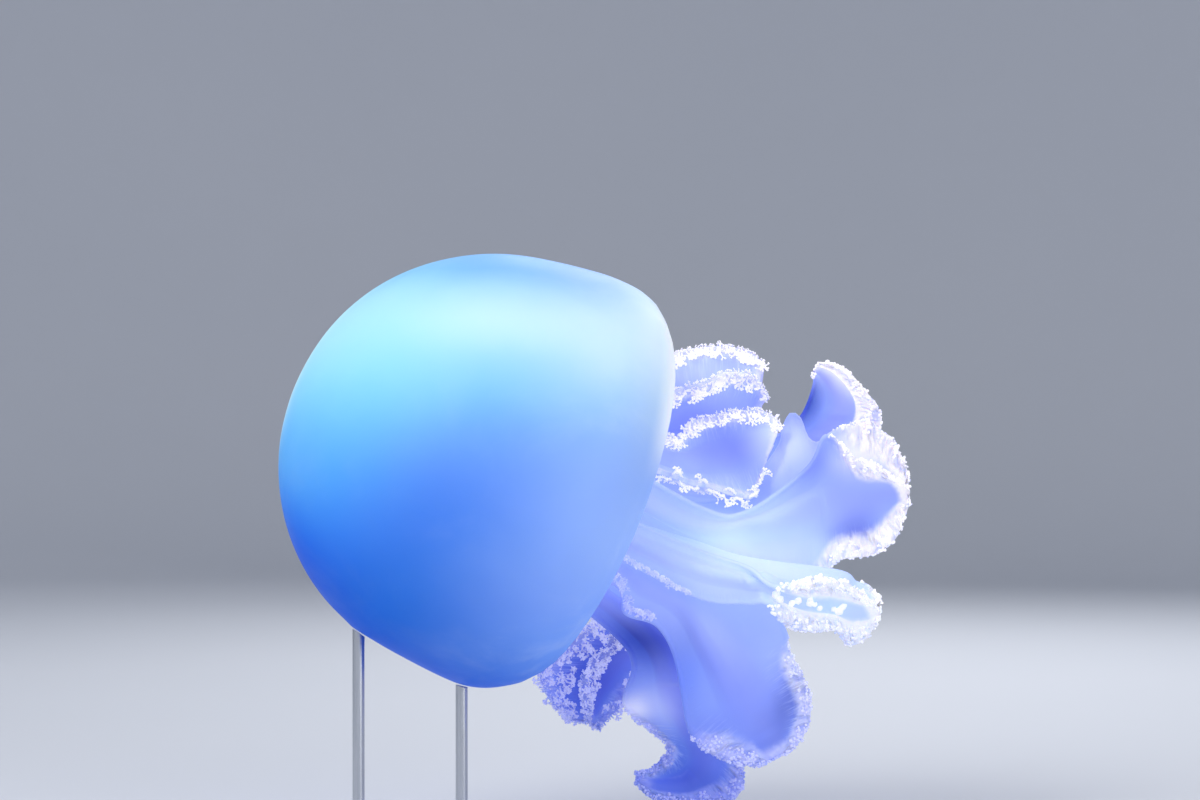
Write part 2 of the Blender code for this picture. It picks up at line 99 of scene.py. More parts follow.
# the skins alone
INSET = 0.25                # how far the bell's skin lies inside its solids
HUB_R = 0.02                # a turned shape's ends are this wide, not a point
CAVITY_RINGS = 36
BELL_COLUMNS = 224
PLACES = 112                # rings of points along each arm
FOOT = 0.42                 # share of a wing's width where the fillet to the next one starts
ROOT_SINK = 1.6             # how far an arm's first ring sinks into the mouth disc
PLAIN_BREADTH = 4.6         # see LIP_BREADTH
LACED_LIP = 0.45            # how pale the lips are that carry tufts

# The oral arms, anticlockwise from the back.  "root" is the arm's place round the mouth
# disc in degrees and "core" its axis.  Each wing is the half thickness of its frilled lip,
# the share of the arm's length where that lip begins, and the line that its edge follows.
ARMS = {
    "arm_1": {
        "root": 335,
        "core": [(32, 39, -22), (48, 46, -26), (66, 57, -28)],
        "wings": {
            "far": (2.0, 0.00, [(45, 29, -44), (60, 35, -47), (71, 49, -42)]),
            "up": (2.2, 0.00, [(25, 69, -38), (48, 80, -41), (59, 81, -40), (66, 77, -36)]),
            "near": (2.2, 0.00, [(21, 50, -8), (40, 64, -8), (53, 68, -10), (65, 63, -16)]),
        },
    },
    "arm_2": {
        "root": 20,
        "core": [(26, 19, 14), (41, 27, 15), (64, 43, 10)],
        "wings": {
            "up": (2.2, 0.00, [(21, 30, 8), (28, 40, 6), (51, 52, 4), (60, 53, 6), (65, 50, 8)]),
            "near": (1.6, 0.00, [(19, 12, 34), (29, 12, 38), (44, 13, 39), (53, 15, 36),
                                 (59, 29, 20)]),
            "far": (2.0, 0.00, [(40, 14, -8), (58, 21, -12), (69, 35, -8)]),
        },
    },
    "arm_3": {
        "root": 290,
        "core": [(67, 23, -24), (86, 42, -20), (95, 59, -12), (95, 71, -6), (85, 78, -3),
                 (76, 79, -1)],
        "wings": {
            "out": (3.5, 0.68, [(81, 11, -26), (111, 35, -22), (116, 66, -8), (96, 79, 1),
                                (84, 83, 1), (76, 82, 0)]),
            "in": (1.6, 0.97, [(50, 33, -20), (72, 46, -18), (80, 58, -13), (79, 72, -6),
                               (76, 76, -3)]),
            "far": (2.0, 0.82, [(68, 20, -44), (92, 42, -40), (106, 62, -32), (103, 75, -22),
                                (88, 81, -11)]),
        },
    },
    "arm_4": {
        "root": 65,
        "core": [(29, -3, 38), (54, 5, 43), (77, 19, 44), (120, 40, 30)],
        "wings": {
            "up": (3.0, 0.79, [(35, 6, 12), (58, 19, 6), (71, 41, -3), (71, 50, -4),
                               (72, 57, -3), (75, 56, 2), (76, 48, 15), (76, 46, 28),
                               (77, 51, 36), (92, 61, 35), (110, 53, 31), (118, 46, 29)]),
            "near": (2.6, 0.77, [(29, 4, 44), (48, 8, 45), (65, 32, 52), (68, 47, 55),
                                 (84, 42, 53), (94, 42, 50), (105, 41, 42)]),
            "down": (3.4, 0.66, [(33, -15, 24), (60, -15, 26), (85, -10, 29), (98, 1, 34),
                                 (112, 8, 35), (120, 21, 33), (122, 33, 30)]),
        },
    },
    "arm_5": {
        "root": 110,
        "core": [(26, -20, 50), (54, -19, 58), (81, -20, 53), (118, -14, 44)],
        "wings": {
            "up": (2.2, 0.92, [(33, -10, 32), (57, -10, 36), (95, -3, 42), (105, -5, 40),
                               (111, -5, 40), (117, -9, 42)]),
            "near": (3.0, 0.68, [(28, -13, 50), (49, -14, 60), (61, -19, 69), (83, -9, 67),
                                 (103, -11, 56)]),
            "down": (3.2, 0.61, [(35, -32, 46), (56, -29, 54), (62, -27, 63), (72, -31, 62),
                                 (85, -32, 57), (99, -28, 51), (108, -32, 47), (115, -27, 45),
                                 (118, -18, 44)]),
        },
    },
    "arm_6": {
        "root": 155,
        "core": [(32, -32, 30), (53, -46, 38), (73, -62, 38), (88, -74, 34), (97, -84, 31)],
        "wings": {
            "right": (2.6, 0.71, [(54, -17, 14), (76, -23, 22), (87, -33, 28), (90, -41, 30),
                                  (105, -56, 31), (106, -73, 31), (103, -80, 30)]),
            "far": (1.4, 0.00, [(53, -35, 14), (74, -50, 20), (91, -66, 22), (100, -79, 24)]),
            "left": (4.0, 0.76, [(10, -37, 24), (17, -47, 28), (31, -48, 30), (43, -59, 30),
                                 (55, -83, 34), (64, -90, 35), (77, -92, 35), (90, -90, 33)]),
        },
    },
    "arm_7": {
        "root": 200,
        "core": [(41, -53, 4), (62, -73, 4), (77, -92, 4), (75, -105, 3), (63, -110, 3),
                 (52, -110, 3)],
        "wings": {
            "right": (3.0, 0.65, [(70, -52, 8), (86, -74, 6), (96, -93, 5), (97, -104, 4),
                                  (87, -112, 5), (73, -116, 6), (59, -116, 6), (51, -112, 5)]),
            "left": (1.7, 0.63, [(30, -60, 4), (38, -82, -2), (55, -90, -2), (61, -93, 0),
                                 (61, -98, 1), (56, -104, 3), (50, -107, 3)]),
            "far": (2.0, 0.71, [(65, -52, -16), (84, -73, -18), (95, -92, -17), (86, -108, -12),
                                (67, -113, -6)]),
        },
    },
    "arm_8": {
        "root": 245,
        "core": [(46, -48, -34), (41, -64, -38), (38, -81, -40), (38, -94, -40)],
        "wings": {
            "left": (2.4, 0.00, [(23, -46, -34), (18, -64, -38), (11, -81, -39), (19, -91, -39),
                                 (30, -95, -39)]),
            "near": (2.0, 0.00, [(29, -50, -20), (26, -69, -20), (26, -81, -21), (32, -89, -27)]),
            "right": (3.0, 0.73, [(61, -50, -32), (60, -63, -34), (44, -95, -38)]),
        },
    },
}

# how far in from its edge a wing is pale, in half thicknesses of its lip
LIP_BREADTH = {
    ("arm_3", "out"): 15.0,
    ("arm_3", "far"): 9.0,
    ("arm_4", "up"): 7.0,
    ("arm_4", "near"): 7.0,
    ("arm_5", "near"): 7.5,
    ("arm_5", "down"): 7.0,
}

# the arms whose edges carry branching tufts; the others' lips are paved with beads
LACED = ("arm_1", "arm_2", "arm_8")
# the arms whose lips are mostly smooth, with few beads
SMOOTH_LIPPED = ("arm_3", "arm_4", "arm_5")
# the arms whose blunt ends show and are clothed all round
BLUNT = ("arm_6", "arm_7", "arm_8")


# ---------------------------------------------------------------- places and lines

def body_matrix():
    """From the body's own T, P and Q to the model's axes."""
    t = Vector((math.cos(AXIS_DROP) * math.cos(AXIS_TURN),
                math.cos(AXIS_DROP) * math.sin(AXIS_TURN),
                -math.sin(AXIS_DROP)))
    q = Vector((math.sin(AXIS_TURN), -math.cos(AXIS_TURN), 0.0))
    turned = Matrix((t, q.cross(t), q)).transposed().to_4x4()
    return Matrix.Translation(Vector(RIM_CENTRE) * MM) @ turned


BODY = body_matrix()
BODY_TURN = np.array([list(row)[:3] for row in BODY.to_3x3()])
BODY_SPOT = np.array(RIM_CENTRE) * MM


def world(points):
    """Body points in millimetres as model points in metres."""
    return np.asarray(points) @ BODY_TURN.T * MM + BODY_SPOT


def unit(v):
    """Vectors at a length of 1."""
    return v / np.maximum(np.linalg.norm(v, axis=-1, keepdims=True), 1e-9)


def dot(a, b):
    """Dot products along the last axis, which is kept."""
    return (a * b).sum(-1, keepdims=True)


def step(low, high, x):
    """0 below low, 1 above high, smooth between."""
    u = np.clip((x - low) / (high - low), 0.0, 1.0)
    return u * u * (3.0 - 2.0 * u)


def pace(points):
    """How far along their line the points are, from 0 to 1."""
    reach = np.concatenate([[0.0], np.cumsum(np.linalg.norm(np.diff(points, axis=0), axis=1))])
    return reach / reach[-1]


def along(line, where):
    """Points of a smooth line at shares of its way from 0 to 1."""
    points, knots = line
    want = np.clip(np.atleast_1d(where), 0.0, 1.0)
    i = np.clip(np.searchsorted(knots, want, side="left") - 1, 0, len(points) - 2)
    u = ((want - knots[i]) / (knots[i + 1] - knots[i]))[:, None]
    padded = np.vstack([points[0] * 2.0 - points[1], points, points[-1] * 2.0 - points[-2]])
    p0, p1, p2, p3 = (padded[i + k] for k in range(4))
    return 0.5 * (p1 * 2.0 + (p2 - p0) * u + (p0 * 2.0 - p1 * 5.0 + p2 * 4.0 - p3) * u * u
                  + (p1 * 3.0 - p0 - p2 * 3.0 + p3) * u ** 3)


def keep_pace(points, core):
    """Shares for a wing's edge points that keep it level with the core beside it."""
    knots = pace(points)
    places = np.linspace(0.0, 1.0, 61)
    spots = along(core, places)
    paced = [0.0]
    for i in range(1, len(points)):
        near = places[np.argmin(np.linalg.norm(spots - points[i], axis=1))]
        share = NEAR_SHARE * near + (1.0 - NEAR_SHARE) * knots[i]
        paced.append(max(share, paced[-1] + 0.4 * (knots[i] - knots[i - 1])))
    return np.array(paced) / paced[-1]


# ---------------------------------------------------------------- meshes

def make_object(name, verts, faces, material, uvs=None, values=None):
    """A smooth mesh object from arrays; uvs are per face corner, values are named per point."""
    mesh = bpy.data.meshes.new(name)
    mesh.vertices.add(len(verts))
    mesh.vertices.foreach_set("co", np.asarray(verts, np.float32).ravel())
    counts = [len(f) for f in faces]
    total = int(sum(counts))
    flat = np.concatenate([np.asarray(f).ravel() for f in faces]).astype(np.int32)
    sizes = np.concatenate([np.full(len(f), f.shape[1]) for f in faces])
    starts = np.concatenate([[0], np.cumsum(sizes)[:-1]])
    mesh.loops.add(len(flat))
    mesh.loops.foreach_set("vertex_index", flat)
    mesh.polygons.add(total)
    mesh.polygons.foreach_set("loop_start", starts.astype(np.int32))
    mesh.polygons.foreach_set("loop_total", sizes.astype(np.int32))
    mesh.polygons.foreach_set("use_smooth", np.full(total, True))
    if uvs is not None:
        layer = mesh.uv_layers.new(name="OFBake")
        layer.data.foreach_set("uv", np.concatenate([u.reshape(-1, 2) for u in uvs])
                               .astype(np.float32).ravel())
    for key, value in (values or {}).items():
        field = mesh.attributes.new(key, "FLOAT", "POINT")
        field.data.foreach_set("value", np.asarray(value, np.float32).ravel())
    mesh.update(calc_edges=True)
    mesh.validate()
    mesh.materials.append(material)
    obj = bpy.data.objects.new(name, mesh)
    bpy.context.scene.collection.objects.link(obj)
    return obj


def tube_faces(rows, cols):
    """Quads of a closed tube of rows rings with cols points each."""
    j, i = np.meshgrid(np.arange(rows - 1), np.arange(cols), indexing="ij")
    a = j * cols + i
    b = j * cols + (i + 1) % cols
    return np.stack([a, b, b + cols, a + cols], -1).reshape(-1, 4)


def tube_uvs(rows, cols, cell, lengths=None):
    """Corner places of a tube's quads in a cell (x, y, width, height) of the unwrap."""
    j, i = np.meshgrid(np.arange(rows - 1), np.arange(cols), indexing="ij")
    v = np.linspace(0.0, 1.0, rows) if lengths is None else lengths
    x, y, w, h = cell
    corners = []
    for di, dj in ((0, 0), (1, 0), (1, 1), (0, 1)):
        corners.append(np.stack([x + w * (i + di) / cols, y + h * v[j + dj]], -1))
    return np.stack(corners, 2).reshape(-1, 4, 2)


def signed_volume(verts, quads):
    """Six times the volume that quads close, below 0 where they face inward."""
    a, b, c, d = (verts[quads[:, k]] for k in range(4))
    return (np.einsum("ij,ij->i", a, np.cross(b, c)) +
            np.einsum("ij,ij->i", a, np.cross(c, d))).sum()


# ---------------------------------------------------------------- bell skin

def swell(shape, t, facing):
    """Share by which the bell swells or sinks at t, on the side that it faces."""
    size, centre, reach, power = shape
    return size * np.exp(-((t - centre) / reach) ** 2) * np.maximum(facing, 0.0) ** power


def bell_warp(t, radius, angle):
    """Places on the bell, flattened, swollen, hollowed and tilted as it is posed."""
    up = np.cos(angle)
    rind = np.clip(np.maximum((radius - CAVITY_R) / 8.0, (-75.0 - t) / 12.0), 0.0, 1.0)
    radius = radius * (1.0 - swell(BACK_FLAT, t, up)) * (1.0 + swell(SHOULDER, t, up))
    radius = radius * (1.0 - swell(BELLY_HOLLOW, t, -up) * rind)
    lean = RIM_TILT * radius * up * (1.0 - 0.6 * np.maximum(up, 0.0) ** 3)
    lean = lean * np.clip((t + 80.0) / 80.0, 0.0, 1.0)
    return np.stack([t + lean, BELL_DROP + radius * up, radius * np.sin(angle)], -1)


def cap_curve(rise, radius, power, count):
    """(t, radius) of a dome from its apex to its widest ring."""
    turn = np.linspace(0.0, 0.5 * math.pi, count)
    t = BELL_WIDE_T - rise * np.cos(turn).clip(0.0) ** (2.0 / power)
    return np.stack([t, radius * np.sin(turn).clip(0.0) ** (2.0 / power)], -1)


def outer_radius(t):
    """The bell's radius between its widest ring and the rim."""
    fall = (t - BELL_WIDE_T) / (RIM_T - BELL_WIDE_T)
    return BELL_R - (BELL_R - RIM_R) * fall ** 2.0


def bell_profile():
    """(t, radius) from the apex over the outside, round the rim and up the cavity."""
    outer = cap_curve(BELL_RISE - INSET, BELL_R - INSET, BELL_POWER, 60)
    skirt_t = np.linspace(BELL_WIDE_T, RIM_T - 7.0, 14)[1:]
    skirt = np.stack([skirt_t, outer_radius(skirt_t) - INSET], -1)
    rim = np.array([(RIM_T - 3.4, RIM_R + 1.6), (RIM_T - 1.0, RIM_R - 1.2),
                    (RIM_T - 0.5, RIM_R - 4.2), (RIM_T - 1.5, RIM_R - 7.0),
                    (RIM_T - 4.0, RIM_R - 8.6), (RIM_T - 8.0, RIM_R - 8.3),
                    (RIM_T - 13.0, RIM_R - 5.6)])
    rim = along((np.vstack([skirt[-2:], rim]), pace(np.vstack([skirt[-2:], rim]))),
                np.linspace(0.1, 1.0, 30))
    inner = cap_curve(CAVITY_RISE + INSET, CAVITY_R + INSET, 2.0, CAVITY_RINGS)[::-1]
    return np.vstack([outer, skirt, rim, inner])


def make_bell(material):
    """The bell's skin, outside and inside, as one closed turned shape."""
    profile = bell_profile()
    profile[0, 1] = profile[-1, 1] = HUB_R
    angle = np.arange(BELL_COLUMNS) / BELL_COLUMNS * math.tau
    t, a = np.broadcast_arrays(profile[:, :1], angle[None, :])
    r = np.broadcast_to(profile[:, 1:], t.shape)
    rows = len(profile)
    # soft waves of the jelly and faint folds toward the margin
    wave = (0.30 * np.sin(3 * a + 0.05 * t + 0.6) * np.sin(0.045 * t + 1.0)
            + 0.16 * np.sin(7 * a + 2.0 + 0.03 * t))
    fold = 0.22 * np.sin(48 * a + 0.8 * np.sin(5 * a)) * np.exp(-((t + 8.0) / 9.0) ** 2)
    span = np.minimum(r / 30.0, 1.0)
    verts = world(bell_warp(t, r + (wave - 0.35) * span + fold * 0.5, a).reshape(-1, 3))
    quads = tube_faces(rows, BELL_COLUMNS)
    if signed_volume(verts, quads) < 0:
        quads = quads[:, ::-1]
    uv = tube_uvs(rows, BELL_COLUMNS, (0.01, 0.01, 0.98, 0.98), pace(profile))
    inner_lip = 8
    inside = np.arange(rows) >= rows - CAVITY_RINGS - inner_lip
    return make_object("bell_skin", verts, [quads], material, [uv],
                       {"inside": np.repeat(inside.astype(float), BELL_COLUMNS)})


# ---------------------------------------------------------------- mouth disc and pillars

def turned_shell(profile, centre, cols, cell, wave=0.0):
    """Points, quads and corner places of a shape turned about a line along T."""
    profile = np.array(profile, float)
    profile = along((profile, pace(profile)), np.linspace(0.0, 1.0, 4 * len(profile)))
    profile[0, 1] = profile[-1, 1] = HUB_R
    angle = np.arange(cols) / cols * math.tau
    radius = profile[:, 1:] * (1.0 + wave * np.sin(9.0 * angle + 0.4 * np.sin(4.0 * angle)))
    t = np.broadcast_to(profile[:, :1], radius.shape)
    points = np.stack([t, centre[0] + radius * np.cos(angle),
                       centre[1] + radius * np.sin(angle)], -1).reshape(-1, 3)
    quads = tube_faces(len(profile), cols)
    if signed_volume(points, quads) < 0:
        quads = quads[:, ::-1]
    return points, quads, tube_uvs(len(profile), cols, cell, pace(profile))


def make_gullet(material):
    """The mouth disc and its four pillars, flared where they meet the disc and the bell."""
    top = DISC_T - DISC_THICK * 0.5 + INSET
    low = DISC_T + DISC_THICK * 0.5 - INSET
    edge = DISC_R - INSET
    disc = [(top, 0.0), (top - 0.1, 18.0), (top, edge - 6.0), (top + 2.2, edge - 1.4),
            (DISC_T, edge), (low - 2.4, edge - 1.4), (low, edge - 6.0), (low - 0.8, 14.0),
            (low - 2.6, 6.0), (low - 3.0, 0.0)]
    pillar = [(top + 2.0, 0.0), (top + 2.0, 10.0), (top + 0.2, 9.0), (top - 2.6, 7.0),
              (top - 11.0, 5.5), (top - 21.0, 5.3), (top - 30.0, 5.9), (top - 36.0, 7.4),
              (top - 39.0, 9.0), (top - 42.0, 11.0), (top - 42.0, 0.0)]
    shells = [turned_shell(disc, (BELL_DROP, 0.0), 96, (0.01, 0.01, 0.48, 0.98), 0.006)]
    for number in range(4):
        angle = math.radians(45.0 + 90.0 * number)
        centre = (BELL_DROP + PILLAR_RING * math.cos(angle), PILLAR_RING * math.sin(angle))
        cell = (0.51 + 0.12 * number, 0.01, 0.11, 0.98)
        shells.append(turned_shell(pillar, centre, 40, cell, 0.02))
    starts = np.concatenate([[0], np.cumsum([len(points) for points, _, _ in shells])])
    return make_object("gullet_skin", world(np.vstack([points for points, _, _ in shells])),
                       [quads + start for (_, quads, _), start in zip(shells, starts)],
                       material, [uv for _, _, uv in shells])


# ---------------------------------------------------------------- arms

def arm_lines(arm):
    """The core's line, and each wing's name, lip, start of the lip and edge line."""
    angle = math.radians(arm["root"])
    ring = np.array([0.0, math.cos(angle), math.sin(angle)])
    root = np.array([ROOT_T, BELL_DROP, 0.0]) + ring * ROOT_RING
    stem = np.array([ROOT_LENGTH, 0.0, 0.0])
    points = np.vstack([root, root + stem, np.array(arm["core"], float)])
    core = (points, pace(points))
    aim = Vector(points[3] - root)
    swing = np.array(aim.rotation_difference(Vector((1.0, 0.0, 0.0))).to_matrix())
    wings = []
    for name, (lip, begins, edge) in arm["wings"].items():
        edge = np.array(edge, float)
        way = swing @ (edge[0] - points[2])
        way[0] = 0.0
        way /= np.linalg.norm(way)
        start = root + way * (ROOT_REACH + ROOT_OUTWARD * max(float(way @ ring), 0.0))
        edge = np.vstack([start, start + stem, edge])
        wings.append((name, lip, begins, (edge, keep_pace(edge, core))))
    return core, wings


def onward(line, s):
    """Directions along a line at its places s."""
    return unit(along(line, np.clip(s + 0.02, 0, 1)) - along(line, np.clip(s - 0.02, 0, 1)))


class Wing:
    """One wing of an arm: its edge, lip and directions at each place along the arm."""

    def __init__(self, name, full_lip, begins, line, arm):
        s = arm.s
        self.name = name
        self.edge = along(line, s)
        self.way = self.edge - arm.core
        self.width = np.linalg.norm(self.way, axis=1, keepdims=True)
        self.normal = unit(np.cross(onward(line, s) + arm.ahead, self.way))
        self.dressed = np.clip((s - begins) / LIP_RISE, 0.0, 1.0)[:, None]
        lip = LIP_PLAIN + (full_lip - LIP_PLAIN) * self.dressed
        self.lip = np.minimum(lip, LIP_SHARE * self.width)
        self.web = np.minimum(WEB, 0.5 * self.lip) * 0.75
        self.reach = np.concatenate([[0.0], np.cumsum(np.linalg.norm(
            np.diff(self.edge, axis=0), axis=1))])
        self.phase = RNG.uniform(0.0, math.tau, 4)
        self.near_side = math.copysign(1.0, self.normal[PLACES // 2, 2])

    def ruffle(self, f):
        """How far the wing waves to its sides, at share f of its width."""
        mm = self.reach[:, None]
        a, b, c, d = self.phase
        wave = (np.sin(mm / 5.2 + a + 1.3 * np.sin(mm / 17.0 + c))
                + 0.55 * np.sin(mm / 2.6 + b + 0.8 * np.sin(mm / 9.0 + d)))
        size = 0.32 * self.lip * self.dressed * step(0.45, 1.0, f) ** 1.5
        return wave * size

    def half(self, f):
        """Half the skin's thickness at share f of the width."""
        inner = 1.0 - 2.1 * self.lip / self.width
        fat = self.lip * (0.8 - 0.12 * self.dressed)
        fill = step(0.0, 1.0, (f - inner) / (1.0 - inner) * 1.7)
        body = self.web * 1.1 + (fat - self.web * 1.1) * fill
        last = 1.0 - 0.9 * self.lip / self.width
        past = np.clip((f - last) / (1.0 - last), 0.0, 1.0)
        return body * np.sqrt(1.0 - 0.998 * past ** 2)

    def point(self, core, f, side):
        """Points of the wing's skin at share f of its width; side is -1, 0 or 1."""
        f = f * (1.0 - 0.6 * self.dressed / self.width)
        return core + self.way * f + self.normal * (self.ruffle(f) + side * self.half(f))


class Arm:
    """An arm's core, its three wings and the unwrap's cell that it fills."""

    def __init__(self, name, arm, cell):
        self.name = name
        self.cell = cell
        core, wings = arm_lines(arm)
        self.s = np.linspace(0.0, 1.0, PLACES)
        self.core = along(core, self.s)
        self.ahead = onward(core, self.s)
        self.wings = [Wing(*wing, self) for wing in wings]
        self.side = self.wings[0].way
        self.side = unit(self.side - self.ahead * dot(self.side, self.ahead))
        self.other = np.cross(self.ahead, self.side)
        if sum(self.gap(k)[PLACES // 2 + 4, 0] for k in range(3)) > 1.5 * math.tau:
            self.wings.reverse()

    def turn(self, k):
        """Angles of wing k about the core."""
        way = self.wings[k % 3].way
        return np.arctan2(dot(way, self.other), dot(way, self.side))

    def gap(self, k):
        """Angles from wing k to the next."""
        return (self.turn(k + 1) - self.turn(k)) % math.tau

    def crotch(self, k):
        """Points of the fillet between wing k and the next."""
        gap = self.gap(k)
        turn = self.turn(k) + 0.5 * gap
        core_r = CORE_R_ROOT + (CORE_R_TIP - CORE_R_ROOT) * self.s
        core_r = (core_r + CORE_SWELL * np.sin(math.pi * np.minimum(self.s / 0.8, 1.0)))[:, None]
        flat = np.clip((gap - 1.7) / 1.4, 0.0, 1.0)
        least = np.minimum(self.wings[k].width, self.wings[(k + 1) % 3].width)
        reach = np.minimum(core_r, (0.36 + 0.4 * flat) * least)
        reach = np.where(gap > math.pi, reach * 0.7, reach)
        slope = 0.0
        for wing in (self.wings[k], self.wings[(k + 1) % 3]):
            flat_way = np.hypot(dot(wing.way, self.side), dot(wing.way, self.other))
            slope = slope + 0.5 * dot(wing.way, self.ahead) / flat_way
        most = SLOPE_MOST * np.minimum((1.12 - self.s) / 0.2, 1.0)[:, None]
        slope = np.clip(slope, -most, most)
        out = self.side * np.cos(turn) + self.other * np.sin(turn) + self.ahead * slope
        return self.core + out * reach * 0.93


def arm_surface(arm):
    """The arm's closed skin: rings of points, with each point's share of its wing's width."""
    columns = []
    share = []
    wing_no = []
    shares = np.concatenate([np.linspace(FOOT, 0.76, 6), np.linspace(0.80, 0.99, 9)])
    for k in range(3):
        wing = arm.wings[k]
        following = arm.wings[(k + 1) % 3]
        for f in shares:
            columns.append(wing.point(arm.core, f, -1.0))
        columns.append(wing.point(arm.core, 1.0, 0.0))
        for f in shares[::-1]:
            columns.append(wing.point(arm.core, f, 1.0))
        share += [*shares, 1.0, *shares[::-1]]
        wing_no += [k] * (2 * len(shares) + 1)
        a, b = columns[-1], following.point(arm.core, FOOT, -1.0)
        pull = arm.crotch(k) * 2.0 - (a + b) * 0.5
        for u in (0.14, 0.3, 0.5, 0.7, 0.86):
            columns.append(a * (1 - u) ** 2 + pull * 2 * u * (1 - u) + b * u * u)
            share.append(FOOT - FOOT * math.sin(math.pi * u))
            wing_no.append(k)
    rings = np.stack(columns, 1)
    return rings, np.array(share), np.array(wing_no)


def end_fans(rows, cols, cell):
    """Triangles that close a tube's ends on a hub each, and their corner places."""
    x, y, w, h = cell
    i = np.arange(cols)
    fans = []
    places = []
    for j, hub in ((0, rows * cols), (rows - 1, rows * cols + 1)):
        a, b = j * cols + i, j * cols + (i + 1) % cols
        hubs = np.full(cols, hub)
        fans.append(np.stack([hubs, b, a] if j == 0 else [hubs, a, b], 1))
        at = np.stack([x + w * (i + 0.5) / cols, np.full(cols, y + h * (j > 0))], 1)
        places.append(np.repeat(at[:, None, :], 3, 1))
    return fans, places


def arm_fields(arm, number, share, wing_no):
    """What the finish needs to know at each point of an arm's skin."""
    def each(measure):
        return np.stack([measure(arm.wings[k]) for k in wing_no], 1)

    lace = each(lambda wing: wing.dressed[:, 0])
    thick = each(lambda wing: (wing.lip / wing.width)[:, 0])
    broad = np.array([LIP_BREADTH.get((arm.name, arm.wings[k].name), PLAIN_BREADTH)
                      for k in wing_no])
    lip = step(1.0 - broad * thick, 1.0 - 0.25 * broad * thick, share[None, :]) * lace
    lip = np.maximum(lip, step(0.93, 0.995, arm.s)[:, None] * lace)
    lip = lip * (LACED_LIP if arm.name in LACED else 1.0)
    return {"edge": np.broadcast_to(share, lip.shape), "run": each(lambda wing: wing.reach),
            "wing": np.broadcast_to(wing_no + 3.0 * number, lip.shape), "lip": lip,
            "lace": lace}


def make_arms_skin(arms, material):
    """One skin over all the arms, each a closed tube with a fan at either end."""
    verts, quads, tris, quad_uvs, tri_uvs = [], [], [], [], []
    fields = {}
    start = 0
    for number, arm in enumerate(arms):
        rings, share, wing_no = arm_surface(arm)
        rings[0] = rings[0] - np.array([ROOT_SINK, 0.0, 0.0])
        rows, cols = rings.shape[:2]
        points = rings.reshape(-1, 3)
        hubs = np.stack([rings[0].mean(0) - arm.ahead[0] * 0.5, rings[-1].mean(0)])
        verts += [points, hubs]
        tube = tube_faces(rows, cols)
        uv = tube_uvs(rows, cols, arm.cell)
        fans, fan_uvs = end_fans(rows, cols, arm.cell)
        if signed_volume(points, tube) < 0:
            tube, uv = tube[:, ::-1], uv[:, ::-1]
            fans = [fan[:, ::-1] for fan in fans]
        quads.append(tube + start)
        quad_uvs.append(uv)
        tris += [fan + start for fan in fans]
        tri_uvs += fan_uvs
        for key, value in arm_fields(arm, number, share, wing_no).items():
            fields.setdefault(key, []).extend([value.ravel(), value.ravel()[[0, -1]]])
        start += len(points) + len(hubs)
    return make_object("arms_skin", world(np.vstack(verts)), quads + tris, material,
                       quad_uvs + tri_uvs, {k: np.concatenate(v) for k, v in fields.items()})


# ---------------------------------------------------------------- frills

KINDS = 12                  # different tufts, and as many different groups of beads
PATCH = 0.003               # breadth of each cluster on the unwrap, at its root's place
MAP_EDGE = 0.005            # left free round that unwrap
EDGE_COLUMN = 0.42          # place of a wing's edge on the unwrap, from this wing to the next
FOLD_COLUMN = 0.92          # and of the fold behind it
BOTH = (-1.0, 1.0)          # the two faces of a wing
NARROWEST = 4.0             # nothing grows where a wing is narrower than this
DEEPEST = 0.58              # or farther in from its edge than this share of its width
LAST_ROW = 0.57             # where the rows of beads and heads end, as such a share
BEAD_ROW = 1.2              # from one row of beads to the next
HEAD_ROW = 2.3              # from one branching head of arm_8 to the next


def any_turn():
    """A turn between none and a whole one."""
    return RNG.uniform(0.0, math.tau)


def pick(kinds):
    """One of the ready shapes."""
    return kinds[RNG.integers(len(kinds))]


def finger(length, girth, bend, sides=5, levels=((0.0, 0.85), (0.4, 0.7), (0.78, 0.92))):
    """A little finger of jelly along +Z: points and triangles."""
    turn = np.arange(sides) / sides * math.tau
    points = [np.stack([bend * z * z * length + girth * r * np.cos(turn),
                        girth * r * np.sin(turn), np.full(sides, z * length)], -1)
              for z, r in levels]
    points = np.vstack(points + [np.array([[bend * length, 0.0, length]])])
    tris = []
    for j in range(len(levels) - 1):
        for i in range(sides):
            a, b = j * sides + i, j * sides + (i + 1) % sides
            tris += [(a, b, b + sides), (a, b + sides, a + sides)]
    j = (len(levels) - 1) * sides
    for i in range(sides):
        tris.append((j + i, j + (i + 1) % sides, len(points) - 1))
    for i in range(1, sides - 1):
        tris.append((0, i + 1, i))
    return points, np.array(tris)


def turn_to(points, tilt, spin):
    """Points tilted from +Z by tilt toward the direction spin."""
    ct, st, cs, sn = math.cos(tilt), math.sin(tilt), math.cos(spin), math.sin(spin)
    tilted = points @ np.array([[ct, 0, -st], [0, 1, 0], [st, 0, ct]])
    return tilted @ np.array([[cs, sn, 0], [-sn, cs, 0], [0, 0, 1]])


class Cluster:
    """A few fingers or beads that grow from one root, with how pale each point is."""

    def __init__(self):
        self.points, self.tris, self.tones = [], [], []
        self.count = 0

    def add(self, shape, at, low, high):
        """Adds a shape at a place, pale by low at its foot and by high at its top."""
        points, tris = shape
        self.points.append(points + at)
        self.tris.append(tris + self.count)
        tall = points[:, 2]
        tall = (tall - tall.min()) / max(tall.max() - tall.min(), 1e-6)
        self.tones.append(low + (high - low) * tall)
        self.count += len(points)

    def arrays(self):
        """All its points, triangles and tones."""
        return np.vstack(self.points), np.vstack(self.tris), np.concatenate(self.tones)


